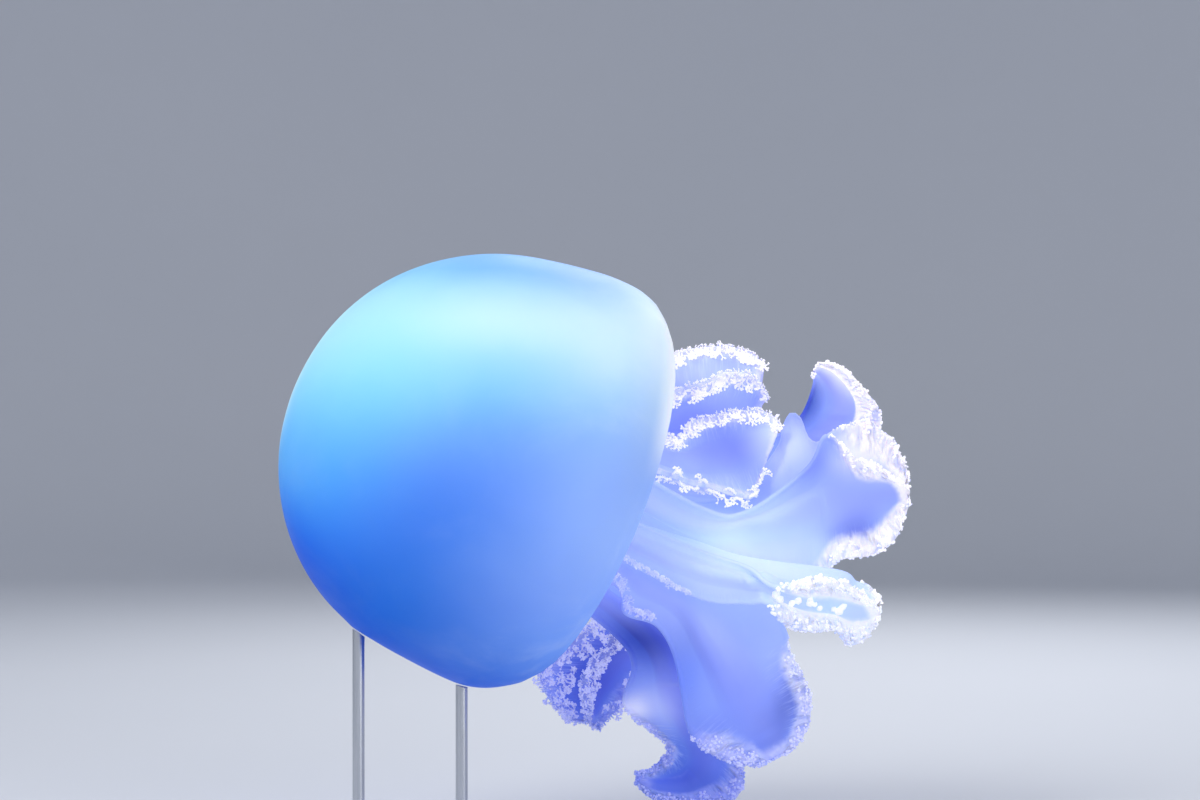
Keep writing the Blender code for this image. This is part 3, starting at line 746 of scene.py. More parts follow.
def tuft():
    """A short stalk that forks into fingers."""
    cluster = Cluster()
    stalk, tris = finger(RNG.uniform(0.9, 1.6), RNG.uniform(0.28, 0.38), RNG.uniform(-0.3, 0.3))
    tilt, spin = RNG.uniform(0, 0.5), any_turn()
    stalk = turn_to(stalk, tilt, spin)
    cluster.add((stalk, tris), np.zeros(3), 0.0, 0.5)
    for _ in range(RNG.integers(3, 6)):
        at = stalk[-1] * RNG.uniform(0.3, 0.95)
        q, g = finger(RNG.uniform(0.6, 1.3), RNG.uniform(0.22, 0.34), RNG.uniform(-0.3, 0.3), 4)
        q = turn_to(q, tilt + RNG.uniform(0.3, 1.3), any_turn())
        cluster.add((q, g), at, 0.4, 1.0)
    return cluster.arrays()


def pebbles(count, low=0.6):
    """A few round beads side by side."""
    cluster = Cluster()
    for _ in range(count):
        q, g = finger(RNG.uniform(0.8, 1.15), RNG.uniform(0.5, 0.72), 0.0, 6,
                      ((0.0, 0.8), (0.35, 1.0), (0.75, 0.72)))
        q = turn_to(q, RNG.uniform(0.0, 0.5), any_turn())
        spread = 0.0 if count == 1 else 0.75
        at = np.array([RNG.uniform(-spread, spread), RNG.uniform(-spread, spread), -0.35])
        cluster.add((q, g), at, low, 1.0)
    return cluster.arrays()


def sprig(reach, depth=3):
    """A branching cluster that lies along +X and stands a little off the face at z = 0."""
    cluster = Cluster()

    def branch(at, heading, length, level):
        girth = 0.46 - 0.06 * level
        q, g = finger(length, girth, RNG.uniform(-0.15, 0.15), 5)
        q = turn_to(q, math.pi / 2 - 0.15, heading)
        cluster.add((q, g), at, 0.55, 0.95)
        tip = at + q[-1] * 0.9
        if level == depth:
            for _ in range(2):
                bead, tris = finger(0.75, 0.42, 0.0, 5, ((0.0, 1.0), (0.6, 0.8)))
                bead = turn_to(bead, RNG.uniform(0.2, 1.2), heading + RNG.uniform(-1.4, 1.4))
                cluster.add((bead, tris), tip - np.array([0, 0, 0.2]), 0.7, 1.0)
            return
        for side in BOTH if level else (-1.0, 0.0, 1.0):
            if RNG.uniform() < 0.86:
                turned = heading + side * RNG.uniform(0.45, 0.95) + RNG.uniform(-0.15, 0.15)
                branch(tip, turned, length * RNG.uniform(0.62, 0.85), level + 1)

    branch(np.zeros(3), 0.0, reach, 0)
    return cluster.arrays()


class Frill:
    """The mouthlets of one piece.

    On its unwrap the piece's wings lie side by side, root to tip, and each cluster is a
    small patch at its root's place.
    """

    def __init__(self, arm, wing_nos):
        self.arm = arm
        self.wing_nos = wing_nos
        self.verts, self.tris, self.patches, self.tones = [], [], [], []
        self.count = 0

    def place(self, wing_no, mm, inward, side, lean, cluster, size, spin=None, aside=0.0,
              pale=1.0):
        """Sets a cluster at mm along a wing's edge and inward from it, on one side."""
        arm = self.arm
        wing = arm.wings[wing_no]
        j = float(np.interp(mm, wing.reach, np.arange(PLACES)))
        j0 = min(int(j), PLACES - 2)
        u = j - j0

        def at(rows):
            return rows[j0] * (1 - u) + rows[j0 + 1] * u

        width = float(at(wing.width)[0])
        if width < NARROWEST or inward > DEEPEST * width:
            return
        way, normal = at(wing.way), at(wing.normal)
        out = way / width
        run = np.cross(normal, out)
        f = np.array(1.0 - inward / width)
        low = wing.point(arm.core, f, side)
        spot = at(low) + normal * aside
        grow = out * math.cos(lean) + normal * side * math.sin(lean)
        if spin is None:
            grow = grow + run * RNG.uniform(-0.4, 0.4)
            spin = any_turn()
        grow = unit(grow)
        first = unit(-out - grow * float(-out @ grow)) if lean > 0.4 else run
        column = wing_no + EDGE_COLUMN * (1.0 + side * inward / (DEEPEST * width))
        self.set_down(spot, first, grow, cluster, size, spin, column, j, pale)

    def set_down(self, spot, first, grow, cluster, size, spin, column, j, pale):
        """Adds a cluster that grows from a spot, and its patch at the unwrap's row j."""
        third = np.cross(grow, first)
        p, t, tone = cluster
        x = p[:, :1] * math.cos(spin) - p[:, 1:2] * math.sin(spin)
        y = p[:, :1] * math.sin(spin) + p[:, 1:2] * math.cos(spin)
        self.verts.append(spot + (x * first + y * third + p[:, 2:] * grow) * size)
        self.tris.append(t + self.count)
        self.count += len(p)
        patch = p[:, :2] * PATCH / np.ptp(p[:, :2], axis=0).max()
        across = (column - self.wing_nos[0]) / len(self.wing_nos) % 1.0
        at = np.array([across, j / (PLACES - 1)]) * (1.0 - 2.0 * MAP_EDGE) + MAP_EDGE
        self.patches.append((patch + at)[t])
        self.tones.append(tone * pale + 0.12 * RNG.uniform(-1, 1))

    def finish(self, name, material):
        """The one mesh piece of all that was set down."""
        return make_object(name, world(np.vstack(self.verts)),
                           [np.vstack(self.tris)], material, [np.concatenate(self.patches)],
                           {"tone": np.concatenate(self.tones)})


def lumps(mm, seed):
    """A lumpy rhythm along an edge, from 0 to 1."""
    return float(0.5 + 0.3 * np.sin(mm / 0.95 + seed + np.sin(mm / 3.1))
                 + 0.2 * np.sin(mm / 2.7 + 2.1 * seed))


def lace_edge(frill, k, tufts):
    """Branching tufts in a ragged border, deep in some places and thin in others."""
    wing = frill.arm.wings[k]
    apart = 1.1 if frill.arm.name == "arm_8" else 0.7
    for mm in np.arange(1.5, wing.reach[-1], apart):
        if np.interp(mm, wing.reach, wing.dressed[:, 0]) < 0.3:
            continue
        lump = lumps(mm, wing.phase[0]) ** 2
        frill.place(k, mm, 0.2, RNG.choice(BOTH), RNG.uniform(0.0, 0.6), pick(tufts),
                    RNG.uniform(0.6, 1.1))
        for side in BOTH:
            for _ in range(int(RNG.uniform(0.3, 1.6 + 2.4 * lump))):
                inward = 0.3 + RNG.uniform() ** 1.5 * (1.3 + 4.0 * lump)
                frill.place(k, mm + RNG.uniform(-0.5, 0.5), inward, side, RNG.uniform(0.7, 1.2),
                            pick(tufts), RNG.uniform(0.55, 1.0))


def bead_end(frill, k, beads):
    """Two rows of beads on both faces of a wing's blunt end, and one along its cut."""
    arm, wing = frill.arm, frill.arm.wings[k]
    for back in (1.6, 0.3):
        for inward in np.arange(0.6, LAST_ROW * wing.width[-1, 0], BEAD_ROW):
            for side in BOTH:
                frill.place(k, wing.reach[-1] - back, inward, side, 1.1, pick(beads),
                            RNG.uniform(0.6, 1.1))
    across = unit(wing.normal[-1])
    beyond = unit(np.cross(across, wing.way[-1]))
    beyond = beyond * math.copysign(1.0, float(beyond @ arm.ahead[-1]))
    for f in np.arange(0.03, 0.95, 1.1 / wing.width[-1, 0]):
        spot = arm.core[-1] + wing.way[-1] * f + across * RNG.uniform(-0.5, 0.5) - beyond * 0.2
        frill.set_down(spot, across, beyond, pick(beads), RNG.uniform(0.8, 1.3), any_turn(),
                       k + EDGE_COLUMN * f, PLACES - 1, 0.7)


def bead_edge(frill, k, beads):
    """A thick lip with a row of beads round its very edge and patches of them behind it."""
    wing = frill.arm.wings[k]
    smooth_lip = frill.arm.name in SMOOTH_LIPPED
    bead_end(frill, k, beads)
    for mm in np.arange(1.5, wing.reach[-1], 1.0):
        dressed = float(np.interp(mm, wing.reach, wing.dressed[:, 0]))
        if dressed < 0.15:
            continue
        lip = float(np.interp(mm, wing.reach, wing.lip[:, 0]))
        lump = lumps(mm, wing.phase[0])
        pale = 0.35 + 0.65 * lump
        frill.place(k, mm + RNG.uniform(-0.3, 0.3), 0.15, RNG.choice(BOTH),
                    RNG.uniform(0.0, 0.7), pick(beads), RNG.uniform(0.6, 0.9) + 0.6 * lump,
                    pale=pale)
        for side in BOTH:
            for inward in np.arange(0.9, lip * (0.9 + 1.5 * lump) * dressed, BEAD_ROW):
                if RNG.uniform() < (0.05 + 0.35 * lump if smooth_lip else 0.25 + 0.6 * lump):
                    frill.place(k, mm + RNG.uniform(-0.5, 0.5), inward + RNG.uniform(-0.4, 0.4),
                                side, 1.25, pick(beads), RNG.uniform(0.5, 0.8) + 0.5 * lump,
                                pale=pale)


def creep_line(frill, k, tufts):
    """A line of tufts that wanders from side to side of the edge and branches."""
    wing = frill.arm.wings[k]
    mm = 0.25 * wing.reach[-1]
    branch_at = mm
    while mm < wing.reach[-1] - 2.0:
        sway = 1.7 * math.sin(mm / 1.9 + 1.0) + 1.0 * math.sin(mm / 0.9)
        side = math.copysign(1.0, sway)
        for _ in range(3):
            frill.place(k, mm + RNG.uniform(-0.3, 0.3), 0.2, side, RNG.uniform(0.0, 0.5),
                        pick(tufts), RNG.uniform(0.6, 0.95), aside=0.55 * sway)
        if mm > branch_at:
            turned = side * math.pi / 2 + RNG.uniform(-0.6, 0.6)
            frill.place(k, mm, 0.1, side, 0.0, sprig(RNG.uniform(1.3, 2.6)), 1.0, turned,
                        0.4 * sway)
            branch_at = mm + RNG.uniform(3.0, 6.5)
        mm += 0.5


def cauliflower(frill, k, tufts):
    """Branching heads over both faces of a wing, each with tufts about its foot."""
    wing = frill.arm.wings[k]
    a, b = wing.phase[:2]
    for mm in np.arange(2.0, wing.reach[-1], HEAD_ROW):
        width = float(np.interp(mm, wing.reach, wing.width[:, 0]))
        for inward in np.arange(0.5, LAST_ROW * width, HEAD_ROW):
            for side in BOTH:
                clump = (math.sin(mm / 2.3 + a + side) + math.sin(inward / 2.0 + b + mm / 4.0)
                         + 1.0 - 1.4 * inward / width)
                if clump < RNG.uniform(0.0, 0.6):
                    continue
                spot = (mm + RNG.uniform(-0.9, 0.9), inward + RNG.uniform(-0.9, 0.9), side)
                frill.place(k, *spot, RNG.uniform(0.6, 1.3), sprig(RNG.uniform(0.9, 1.5), 2), 1.1,
                            any_turn())
                for _ in range(RNG.integers(1, 3)):
                    frill.place(k, spot[0] + RNG.uniform(-1, 1), spot[1] + RNG.uniform(-0.9, 0.9),
                                side, RNG.uniform(0.8, 1.4), pick(tufts),
                                RNG.uniform(0.7, 1.2), pale=0.8)


def pocket_beads(frill, k, low, high):
    """Large clear beads in a row down in the fold between wing k and the next."""
    arm = frill.arm
    fold = arm.crotch(k)
    for share in np.linspace(low, high, 8):
        j = int(share * (PLACES - 1)) + RNG.integers(-1, 2)
        grow = unit(fold[j] - arm.core[j])
        ahead = unit(arm.ahead[j] - grow * float(arm.ahead[j] @ grow))
        spot = fold[j] - grow * 0.3 + np.cross(grow, ahead) * RNG.uniform(-1.2, 1.2)
        frill.set_down(spot, ahead, grow, pebbles(int(RNG.integers(1, 3)), 0.85),
                       RNG.uniform(2.4, 3.5), any_turn(), k + FOLD_COLUMN, j, 1.0)


def hang_sprigs(frill, k, side, low, high, gap, reach, pale):
    """Branching clusters that hang from an edge down the face of its wing."""
    wing = frill.arm.wings[k]
    mm = wing.reach[-1] * low
    while mm < wing.reach[-1] * high:
        size = RNG.uniform(0.5, 1.3)
        frill.place(k, mm, RNG.uniform(0.3, 1.2), side, math.pi / 2, sprig(reach * size), 1.0,
                    RNG.uniform(-0.5, 0.5), pale=pale)
        mm += gap * RNG.uniform(0.4, 1.6)


def end_ring(frill, clusters):
    """Small clusters all round the blunt end of an arm, over the folds between its wings."""
    arm = frill.arm
    ring = arm_surface(arm)[0][-1]
    middle = ring.mean(0)
    ring = np.vstack([ring, ring[:1]])
    apart = 0.8
    steps = int(np.linalg.norm(np.diff(ring, axis=0), axis=1).sum() / apart)
    for share in np.linspace(0.0, 1.0, steps, endpoint=False):
        spot = along((ring, pace(ring)), share)[0]
        out = unit(spot - middle)
        grow = unit(arm.ahead[-1] + out * RNG.uniform(0.0, 1.2))
        first = unit(np.cross(grow, out))
        frill.set_down(spot - grow * 0.2, first, grow, pick(clusters), RNG.uniform(0.7, 1.2),
                       any_turn(), 3.0 * share, PLACES - 1, 0.7)


# which faces carry hanging clusters: arm, wing, from, to, spacing, length, paleness
HANGING = (
    ("arm_1", "up", 0.30, 0.98, 1.7, 2.5, 1.0),
    ("arm_1", "near", 0.30, 0.98, 2.4, 2.3, 1.0),
    ("arm_2", "up", 0.35, 0.98, 2.6, 2.4, 1.0),
    ("arm_5", "down", 0.12, 0.42, 1.5, 1.2, 0.35),
    ("arm_6", "left", 0.06, 0.46, 1.3, 1.8, 0.35),
)


def dress_wing(frill, k, tufts, beads):
    """Everything that grows on one wing of an arm."""
    arm, wing = frill.arm, frill.arm.wings[k]
    spot = (arm.name, wing.name)
    if arm.name == "arm_8":
        cauliflower(frill, k, tufts)
    if k == 0 and arm.name in BLUNT:
        end_ring(frill, tufts if arm.name in LACED else beads)
    if spot == ("arm_2", "near"):
        creep_line(frill, k, tufts)
    elif arm.name in LACED:
        lace_edge(frill, k, tufts)
    else:
        bead_edge(frill, k, beads)
    for *named, low, high, gap, reach, pale in HANGING:
        if tuple(named) == spot:
            hang_sprigs(frill, k, wing.near_side, low, high, gap, reach, pale)
    if arm.name == "arm_5" and {wing.name, arm.wings[(k + 1) % 3].name} == {"near", "down"}:
        pocket_beads(frill, k, 0.66, 0.88)


# ---------------------------------------------------------------- shader graph

class Graph:
    """A material's node tree, with one method, add, that makes any node."""

    def __init__(self, name):
        self.material = bpy.data.materials.new(name)
        self.material.use_nodes = True
        self.tree = self.material.node_tree
        self.tree.nodes.clear()

    def add(self, kind, settings=None, **sockets):
        """A node of a kind, with its settings set first, then its sockets' values or links."""
        node = self.tree.nodes.new(kind)
        for key, value in (settings or {}).items():
            if key == "stops":
                ramp = node.color_ramp
                while len(ramp.elements) < len(value):
                    ramp.elements.new(0.5)
                for element, (at, colour) in zip(ramp.elements, value):
                    element.position = at
                    element.color = colour
            else:
                setattr(node, key, value)
        for key, value in sockets.items():
            self.feed(find(node.inputs, key), value)
        return node

    def feed(self, socket, value):
        """Links a socket to a value that comes from a node, or sets it to a plain one."""
        if isinstance(value, Value):
            self.tree.links.new(value.socket, socket)
        elif isinstance(value, bpy.types.NodeSocket):
            self.tree.links.new(value, socket)
        elif socket.type == "RGBA" and len(value) == 3:
            socket.default_value = (*value, 1.0)
        else:
            socket.default_value = value

    def value(self, socket):
        """An output socket as a value to reckon with."""
        return Value(self, socket)

    def math(self, operation, *values):
        """What a Math node makes of one or two values."""
        node = self.add("ShaderNodeMath", {"operation": operation})
        for socket, value in zip(node.inputs, values):
            self.feed(socket, value)
        return self.value(node.outputs[0])

    def field(self, name):
        """A mesh piece's own values, named as in its mesh."""
        node = self.add("ShaderNodeAttribute", {"attribute_name": name})
        return self.value(node.outputs["Fac"])

    def ramp(self, factor, tones):
        """A soft run of tones, each a place from 0 to 1 and a colour."""
        stops = [(at, (*tint(*tone), 1.0)) for at, tone in tones]
        node = self.add("ShaderNodeValToRGB", {"stops": stops}, Fac=factor)
        node.color_ramp.interpolation = "B_SPLINE"
        return self.value(node.outputs["Color"])

    def noise(self, vector, scale, detail=3.0, roughness=0.5, distortion=0.0):
        """A cloudy pattern about 0.5, finer with a larger scale."""
        node = self.add("ShaderNodeTexNoise", Vector=vector, Scale=scale, Detail=detail,
                        Roughness=roughness, Distortion=distortion)
        return self.value(node.outputs["Fac"])

    def cells(self, vector, scale):
        """Distance from the middle of the nearest of many small rounded cells."""
        node = self.add("ShaderNodeTexVoronoi", {"feature": "SMOOTH_F1"}, Vector=vector,
                        Scale=scale, Smoothness=0.35)
        return self.value(node.outputs["Distance"])

    def mix(self, factor, a, b):
        """Colour a at a factor of 0, b at 1."""
        node = self.add("ShaderNodeMix", {"data_type": "RGBA"})
        self.feed(node.inputs["Factor"], factor)
        self.feed(node.inputs[6], a)
        self.feed(node.inputs[7], b)
        return self.value(node.outputs[2])

    def vector(self, x, y, z):
        """Three values as one place."""
        return self.value(self.add("ShaderNodeCombineXYZ", X=x, Y=y, Z=z).outputs[0])

    def smooth(self, x, low, high):
        """0 at low, 1 at high, smooth between."""
        node = self.add("ShaderNodeMapRange", {"interpolation_type": "SMOOTHSTEP"}, Value=x)
        node.inputs["From Min"].default_value = low
        node.inputs["From Max"].default_value = high
        return self.value(node.outputs["Result"])

    def bump(self, height, strength, distance, under=None):
        """A normal that shows a height of so many metres, over another where one is given."""
        node = self.add("ShaderNodeBump", Height=height, Strength=strength, Distance=distance)
        if under is not None:
            self.feed(node.inputs["Normal"], under)
        return self.value(node.outputs["Normal"])

    def finish(self, **sockets):
        """The material, with these sockets of its surface set or linked."""
        shader = self.add("ShaderNodeBsdfPrincipled", None, **sockets)
        out = self.add("ShaderNodeOutputMaterial")
        self.tree.links.new(shader.outputs["BSDF"], out.inputs["Surface"])
        return self.material


def find(inputs, key):
    """The socket in use that a key such as Base_Color names."""
    wanted = key.replace("_", " ").lower()
    for socket in inputs:
        if socket.name.lower() == wanted and socket.enabled:
            return socket
    raise KeyError(key)


class Value:
    """A number from a node, which Python's operators turn into Math nodes."""

    def __init__(self, graph, socket):
        self.graph = graph
        self.socket = socket

    def __add__(self, other):
        return self.graph.math("ADD", self, other)

    __radd__ = __add__

    def __sub__(self, other):
        return self.graph.math("SUBTRACT", self, other)

    def __rsub__(self, other):
        return self.graph.math("SUBTRACT", other, self)

    def __mul__(self, other):
        return self.graph.math("MULTIPLY", self, other)

    __rmul__ = __mul__

    def __truediv__(self, other):
        return self.graph.math("DIVIDE", self, other)

    def __rtruediv__(self, other):
        return self.graph.math("DIVIDE", other, self)

    def clamp(self):
        """The number kept between 0 and 1."""
        return self.graph.value(self.graph.add("ShaderNodeClamp", Value=self).outputs[0])

    def hump(self):
        """exp(-x * x), a smooth hump at 0."""
        return self.graph.math("EXPONENT", self * self * -1.0)


def tint(r, g, b):
    """A colour from display values of 0 to 255, as the shader's linear values."""
    linear = []
    for c in (r, g, b):
        c /= 255.0
        linear.append(c / 12.92 if c <= 0.04045 else ((c + 0.055) / 1.055) ** 2.4)
    return tuple(linear)


def position(g):
    """The place in the model, in metres."""
    return g.value(g.add("ShaderNodeNewGeometry").outputs["Position"])


def body_coordinates(g):
    """The place in metres, and on the body's own T, P and Q in millimetres."""
    where = position(g)
    found = []
    shifted = g.add("ShaderNodeVectorMath", {"operation": "SUBTRACT"})
    g.feed(shifted.inputs[0], where)
    shifted.inputs[1].default_value = tuple(BODY_SPOT)
    for column in BODY_TURN.T:
        node = g.add("ShaderNodeVectorMath", {"operation": "DOT_PRODUCT"})
        g.feed(node.inputs[0], shifted.outputs[0])
        node.inputs[1].default_value = tuple(float(c) / MM for c in column)
        found.append(g.value(node.outputs["Value"]))
    return where, found


# ---------------------------------------------------------------- finishes

# the emission is a painted glow: the jelly gives no light of its own
JELLY = dict(Subsurface_Weight=0.35, Subsurface_Scale=0.012,
             Subsurface_Radius=(0.45, 0.7, 1.0), IOR=1.34,
             Specular_IOR_Level=0.16, Coat_Weight=0.03, Coat_Roughness=0.3,
             Emission_Strength=0.30)


def jelly(g, colour, rough, normal, **changes):
    """A soft body's material: emission in its own colour paints the glow that jelly shows in
    bright light.
    """
    return g.finish(**{**JELLY, "Base_Color": colour, "Emission_Color": colour,
                       "Roughness": rough, "Normal": normal, **changes})


def bell_finish():
    """Pale cyan over the back, deep blue below, violet toward the margin: partly the jelly's own
    colour, partly painted light from above, with painted highlights and painted shade.
    """
    g = Graph("bell_jelly")
    where, (t, p, q) = body_coordinates(g)
    cloud = g.noise(where, 13.0, 3.0, 0.5)
    fine = g.noise(where, 90.0, 4.0, 0.6)
    # height runs up the posed bell: pale high up and deep blue low down is partly painted light
    # from above
    height = p * 0.95 - t * 0.31 + (cloud - 0.5) * 16.0
    level = ((height + 85.0) / 175.0).clamp()
    crown = g.ramp(level, [(0.04, (12, 70, 176)), (0.25, (16, 82, 192)),
                           (0.36, (36, 108, 216)), (0.46, (60, 132, 221)),
                           (0.54, (76, 148, 218)), (0.61, (92, 162, 221)),
                           (0.68, (108, 178, 222)), (0.76, (130, 195, 224)),
                           (0.87, (156, 207, 226)), (0.94, (148, 198, 222)),
                           (1.0, (116, 178, 220))])
    flank = g.ramp(level, [(0.04, (16, 80, 186)), (0.18, (34, 103, 204)),
                           (0.33, (54, 112, 206)), (0.45, (66, 118, 211)),
                           (0.54, (80, 128, 214)), (0.62, (97, 146, 220)),
                           (0.70, (116, 176, 220)), (0.79, (138, 192, 221)),
                           (0.87, (186, 216, 230)), (0.94, (154, 196, 222)),
                           (1.0, (104, 158, 218))])
    skirt = g.ramp(level, [(0.04, (54, 106, 206)), (0.14, (110, 151, 228)),
                           (0.25, (130, 162, 236)), (0.38, (150, 180, 236)),
                           (0.50, (140, 170, 232)), (0.61, (138, 170, 227)),
                           (0.70, (150, 186, 226)), (0.80, (190, 214, 235)),
                           (0.89, (188, 212, 232)), (0.95, (140, 176, 220)),
                           (1.0, (92, 136, 214))])
    drift = (cloud - 0.5) * 24.0
    colour = g.mix(g.smooth(t + drift, -124.0, -80.0), crown, flank)
    colour = g.mix(g.smooth(t + drift, -88.0, -8.0), colour, skirt)
    # painted highlight: a pale streak on the crown's far side
    ahead = g.smooth(t, -60.0, -110.0)
    glow = ((q + 26.0) / 15.0).hump() * ((height - 48.0) / 25.0).hump() * ahead
    colour = g.mix(glow * 0.75, colour, tint(226, 238, 242))
    # painted shade: deep blue low on the far side
    shade = g.smooth(q, 50.0, -10.0) * g.smooth(height, 14.0, -26.0)
    colour = g.mix(shade * 0.7, colour, tint(2, 66, 196))
    veil = g.smooth(g.noise(where, 24.0, 5.0, 0.6, 0.5), 0.45, 0.75)
    low_front = g.smooth(t, -70.0, -10.0) * 0.17 + 0.03
    colour = g.mix(veil * low_front, colour, tint(206, 222, 240))
    # painted highlight along the margin's upper side, brightest at its very edge
    below = g.smooth(height, 88.0, 66.0) * 0.75 + 0.25
    rim = g.smooth(t, -30.0, -2.0) * g.smooth(height, 0.0, 70.0) * below
    colour = g.mix(rim * 0.6, colour, tint(226, 238, 240))
    brim = g.smooth(t, -13.0, -1.0) * g.smooth(height, 2.0, 34.0) * below
    colour = g.mix(brim * 0.85, colour, tint(244, 246, 246))
    # painted shade: the inside of the bell darker blue
    colour = g.mix(g.field("inside") * 0.75, colour, tint(78, 108, 208))
    return jelly(g, colour, 0.34 + fine * 0.12, g.bump(fine, 0.08, 0.0006),
                 Specular_IOR_Level=0.03, Coat_Weight=0.0)


# places on the arms with a tone of their own, and places of painted shade: centre and reach in t,
# p and q, strength, colour
ARM_TONES_AND_SHADE = (
    ((54, -8, 38), (26, 10, 26), 0.75, (226, 240, 255)),      # where the thick bases merge
    ((24, 2, 30), (14, 30, 40), 0.45, (184, 202, 254)),       # under the bell's margin
    ((30, 64, -24), (26, 13, 24), 0.75, (196, 206, 255)),     # between arm_1's two edges
    ((33, -20, 45), (16, 9, 20), 0.50, (206, 222, 255)),      # root of arm_5
    # painted shade in the recessed middle of arm_2's face
    ((46, 34, 14), (13, 11, 20), 0.65, (118, 132, 238)),      # middle of arm_2's face
    ((67, 40, 8), (13, 14, 15), 0.90, (206, 216, 255)),       # arm_2's rounded end
    # painted shade, here and in the two places below
    ((102, 13, 38), (13, 11, 20), 0.90, (100, 110, 205)),     # hollow of arm_4
    ((70, 36, 52), (7, 9, 14), 0.60, (112, 120, 212)),        # under arm_4's upper lip
    ((79, 64, -12), (11, 13, 18), 1.00, (52, 64, 160)),       # inner face of arm_3
    ((92, 82, -4), (14, 7, 16), 0.95, (240, 236, 255)),       # its pale outer side
    ((93, 46, 43), (14, 7, 16), 0.85, (240, 237, 255)),       # between arm_4's two lips
    # painted shade, here and in the five places below
    ((32, -57, 4), (18, 11, 24), 0.90, (50, 68, 164)),        # in the shade of the bell
    ((34, -60, -18), (10, 9, 15), 0.75, (48, 66, 166)),       # and behind arm_7's root
    ((32, -74, -30), (16, 18, 24), 0.80, (68, 84, 190)),      # between the heads of arm_8
    ((95, -60, 34), (9, 17, 30), 0.80, (92, 104, 182)),       # right side of arm_6
    ((46, -67, 32), (9, 13, 20), 0.50, (104, 128, 238)),      # left side of arm_6
    ((78, -101, 4), (20, 8, 20), 0.75, (76, 96, 192)),        # underside of arm_7
    ((51, -80, -2), (11, 10, 18), 0.80, (196, 202, 252)),     # bright lobe of arm_7
    ((41, -85, 0), (6, 6, 14), 0.80, (236, 236, 252)),        # and its rim
    ((92, -22, 52), (16, 7, 14), 0.60, (190, 216, 238)),      # pocket of arm_5
)


def arm_colour(g, where, t, p, q):
    """Lavender jelly, bright over the thick bases, with painted shade in deep blue in the low
    folds.
    """
    cloud = g.noise(where, 18.0, 3.0, 0.55)
    drift = (cloud - 0.5) * 18.0
    up = ((p + drift + 110.0) / 190.0).clamp()
    # the jelly's lavender, lightest at mid height; the deeper blue low down is painted shade
    colour = g.ramp(up, [(0.03, (92, 114, 210)), (0.11, (112, 130, 218)),
                         (0.19, (128, 145, 226)), (0.29, (142, 156, 234)),
                         (0.40, (172, 188, 250)), (0.50, (190, 206, 250)),
                         (0.61, (188, 206, 251)), (0.69, (162, 178, 245)),
                         (0.78, (142, 156, 240)), (0.92, (158, 168, 242))])
    for centre, reach, strength, tone in ARM_TONES_AND_SHADE:
        spot = strength
        for place, middle, size in zip((t + drift, p + drift, q), centre, reach):
            spot = spot * ((place - middle) / size).hump()
        colour = g.mix(spot, colour, tint(*tone))
    return colour


def lip_colour(g, p):
    """Near white on the upper arms, lavender on the lower ones: the lips' own pale tint, deepened
    low down by painted shade.
    """
    up = ((p + 110.0) / 190.0).clamp()
    return g.ramp(up, [(0.03, (140, 150, 222)), (0.13, (188, 193, 240)),
                       (0.27, (192, 194, 234)), (0.42, (234, 236, 247)),
                       (0.58, (255, 250, 251)), (0.90, (254, 246, 252))])


def arm_finish():
    """The arms' jelly, streaked on the wings, with a pale crust on their lips and painted shade
    in the crust's folds and between its knobs.
    """
    g = Graph("arm_jelly")
    where, (t, p, q) = body_coordinates(g)
    edge, run, wing = g.field("edge"), g.field("run"), g.field("wing")
    lip = g.field("lip")
    colour = arm_colour(g, where, t, p, q)
    lines = g.noise(g.vector(run * 1.1, edge * 2.2, wing * 7.0), 1.0, 4.0, 0.65)
    streak = g.smooth(lines, 0.45, 0.75) * g.smooth(edge, 0.25, 0.8) * g.field("lace")
    colour = g.mix(streak * 0.45, colour, tint(206, 216, 253))
    grain = g.noise(where, 210.0, 5.0, 0.7, 0.8)
    crust = g.smooth(lip + (grain - 0.5) * 0.3, 0.10, 0.85)
    knob = 1.0 - g.smooth(g.cells(where, 360.0), 0.1, 0.75)
    fold = g.noise(g.vector(run * 0.24, edge * 2.6, wing * 7.0), 1.0, 1.2, 0.5, 0.5)
    outer = g.smooth(edge, 0.42, 0.62)
    # painted shade: the crust deeper in the hollows of its folds
    hollow = g.smooth(fold, 0.50, 0.36) * outer
    pale = g.mix(hollow * 0.7, lip_colour(g, p), g.mix(0.3, colour, lip_colour(g, p)))
    # painted shade: the crust thinner between its knobs
    colour = g.mix(crust * (knob * 0.2 + 0.78), colour, pale)
    fine = g.noise(where, 420.0, 3.0, 0.6)
    normal = g.bump(lines * g.smooth(edge, 0.42, 0.9), 0.35, 0.0009)
    normal = g.bump((fold - 0.5) * crust * outer, 1.0, 0.007, normal)
    normal = g.bump((knob + grain * 0.5 - 0.7) * crust, 0.35, 0.0010, normal)
    return jelly(g, colour, 0.32 + fine * 0.08 + crust * 0.16, normal)


def frill_finish():
    """Mouthlets: deep at the root, paler in patches and at the tips, whiter higher up with
    painted light and carrying the arms' painted shade.
    """
    g = Graph("frill_jelly")
    where, (t, p, q) = body_coordinates(g)
    tone = g.field("tone")
    speck = g.noise(where, 300.0, 3.0, 0.6)
    # tips whiter higher up: painted light from above
    tip = g.mix(g.smooth(p, -90.0, 10.0) * 0.4 + 0.15, lip_colour(g, p), tint(252, 252, 255))
    deep = g.mix(0.3, arm_colour(g, where, t, p, q), lip_colour(g, p))
    clump = g.noise(where, 150.0, 3.0, 0.6)
    paler = tone + (speck - 0.5) * 0.5 + (clump - 0.5) * 0.9
    colour = g.mix(g.smooth(paler, 0.1, 0.85), deep, tip)
    return jelly(g, colour, 0.34 + speck * 0.15, g.bump(speck, 0.2, 0.0003),
                 Subsurface_Scale=0.003)


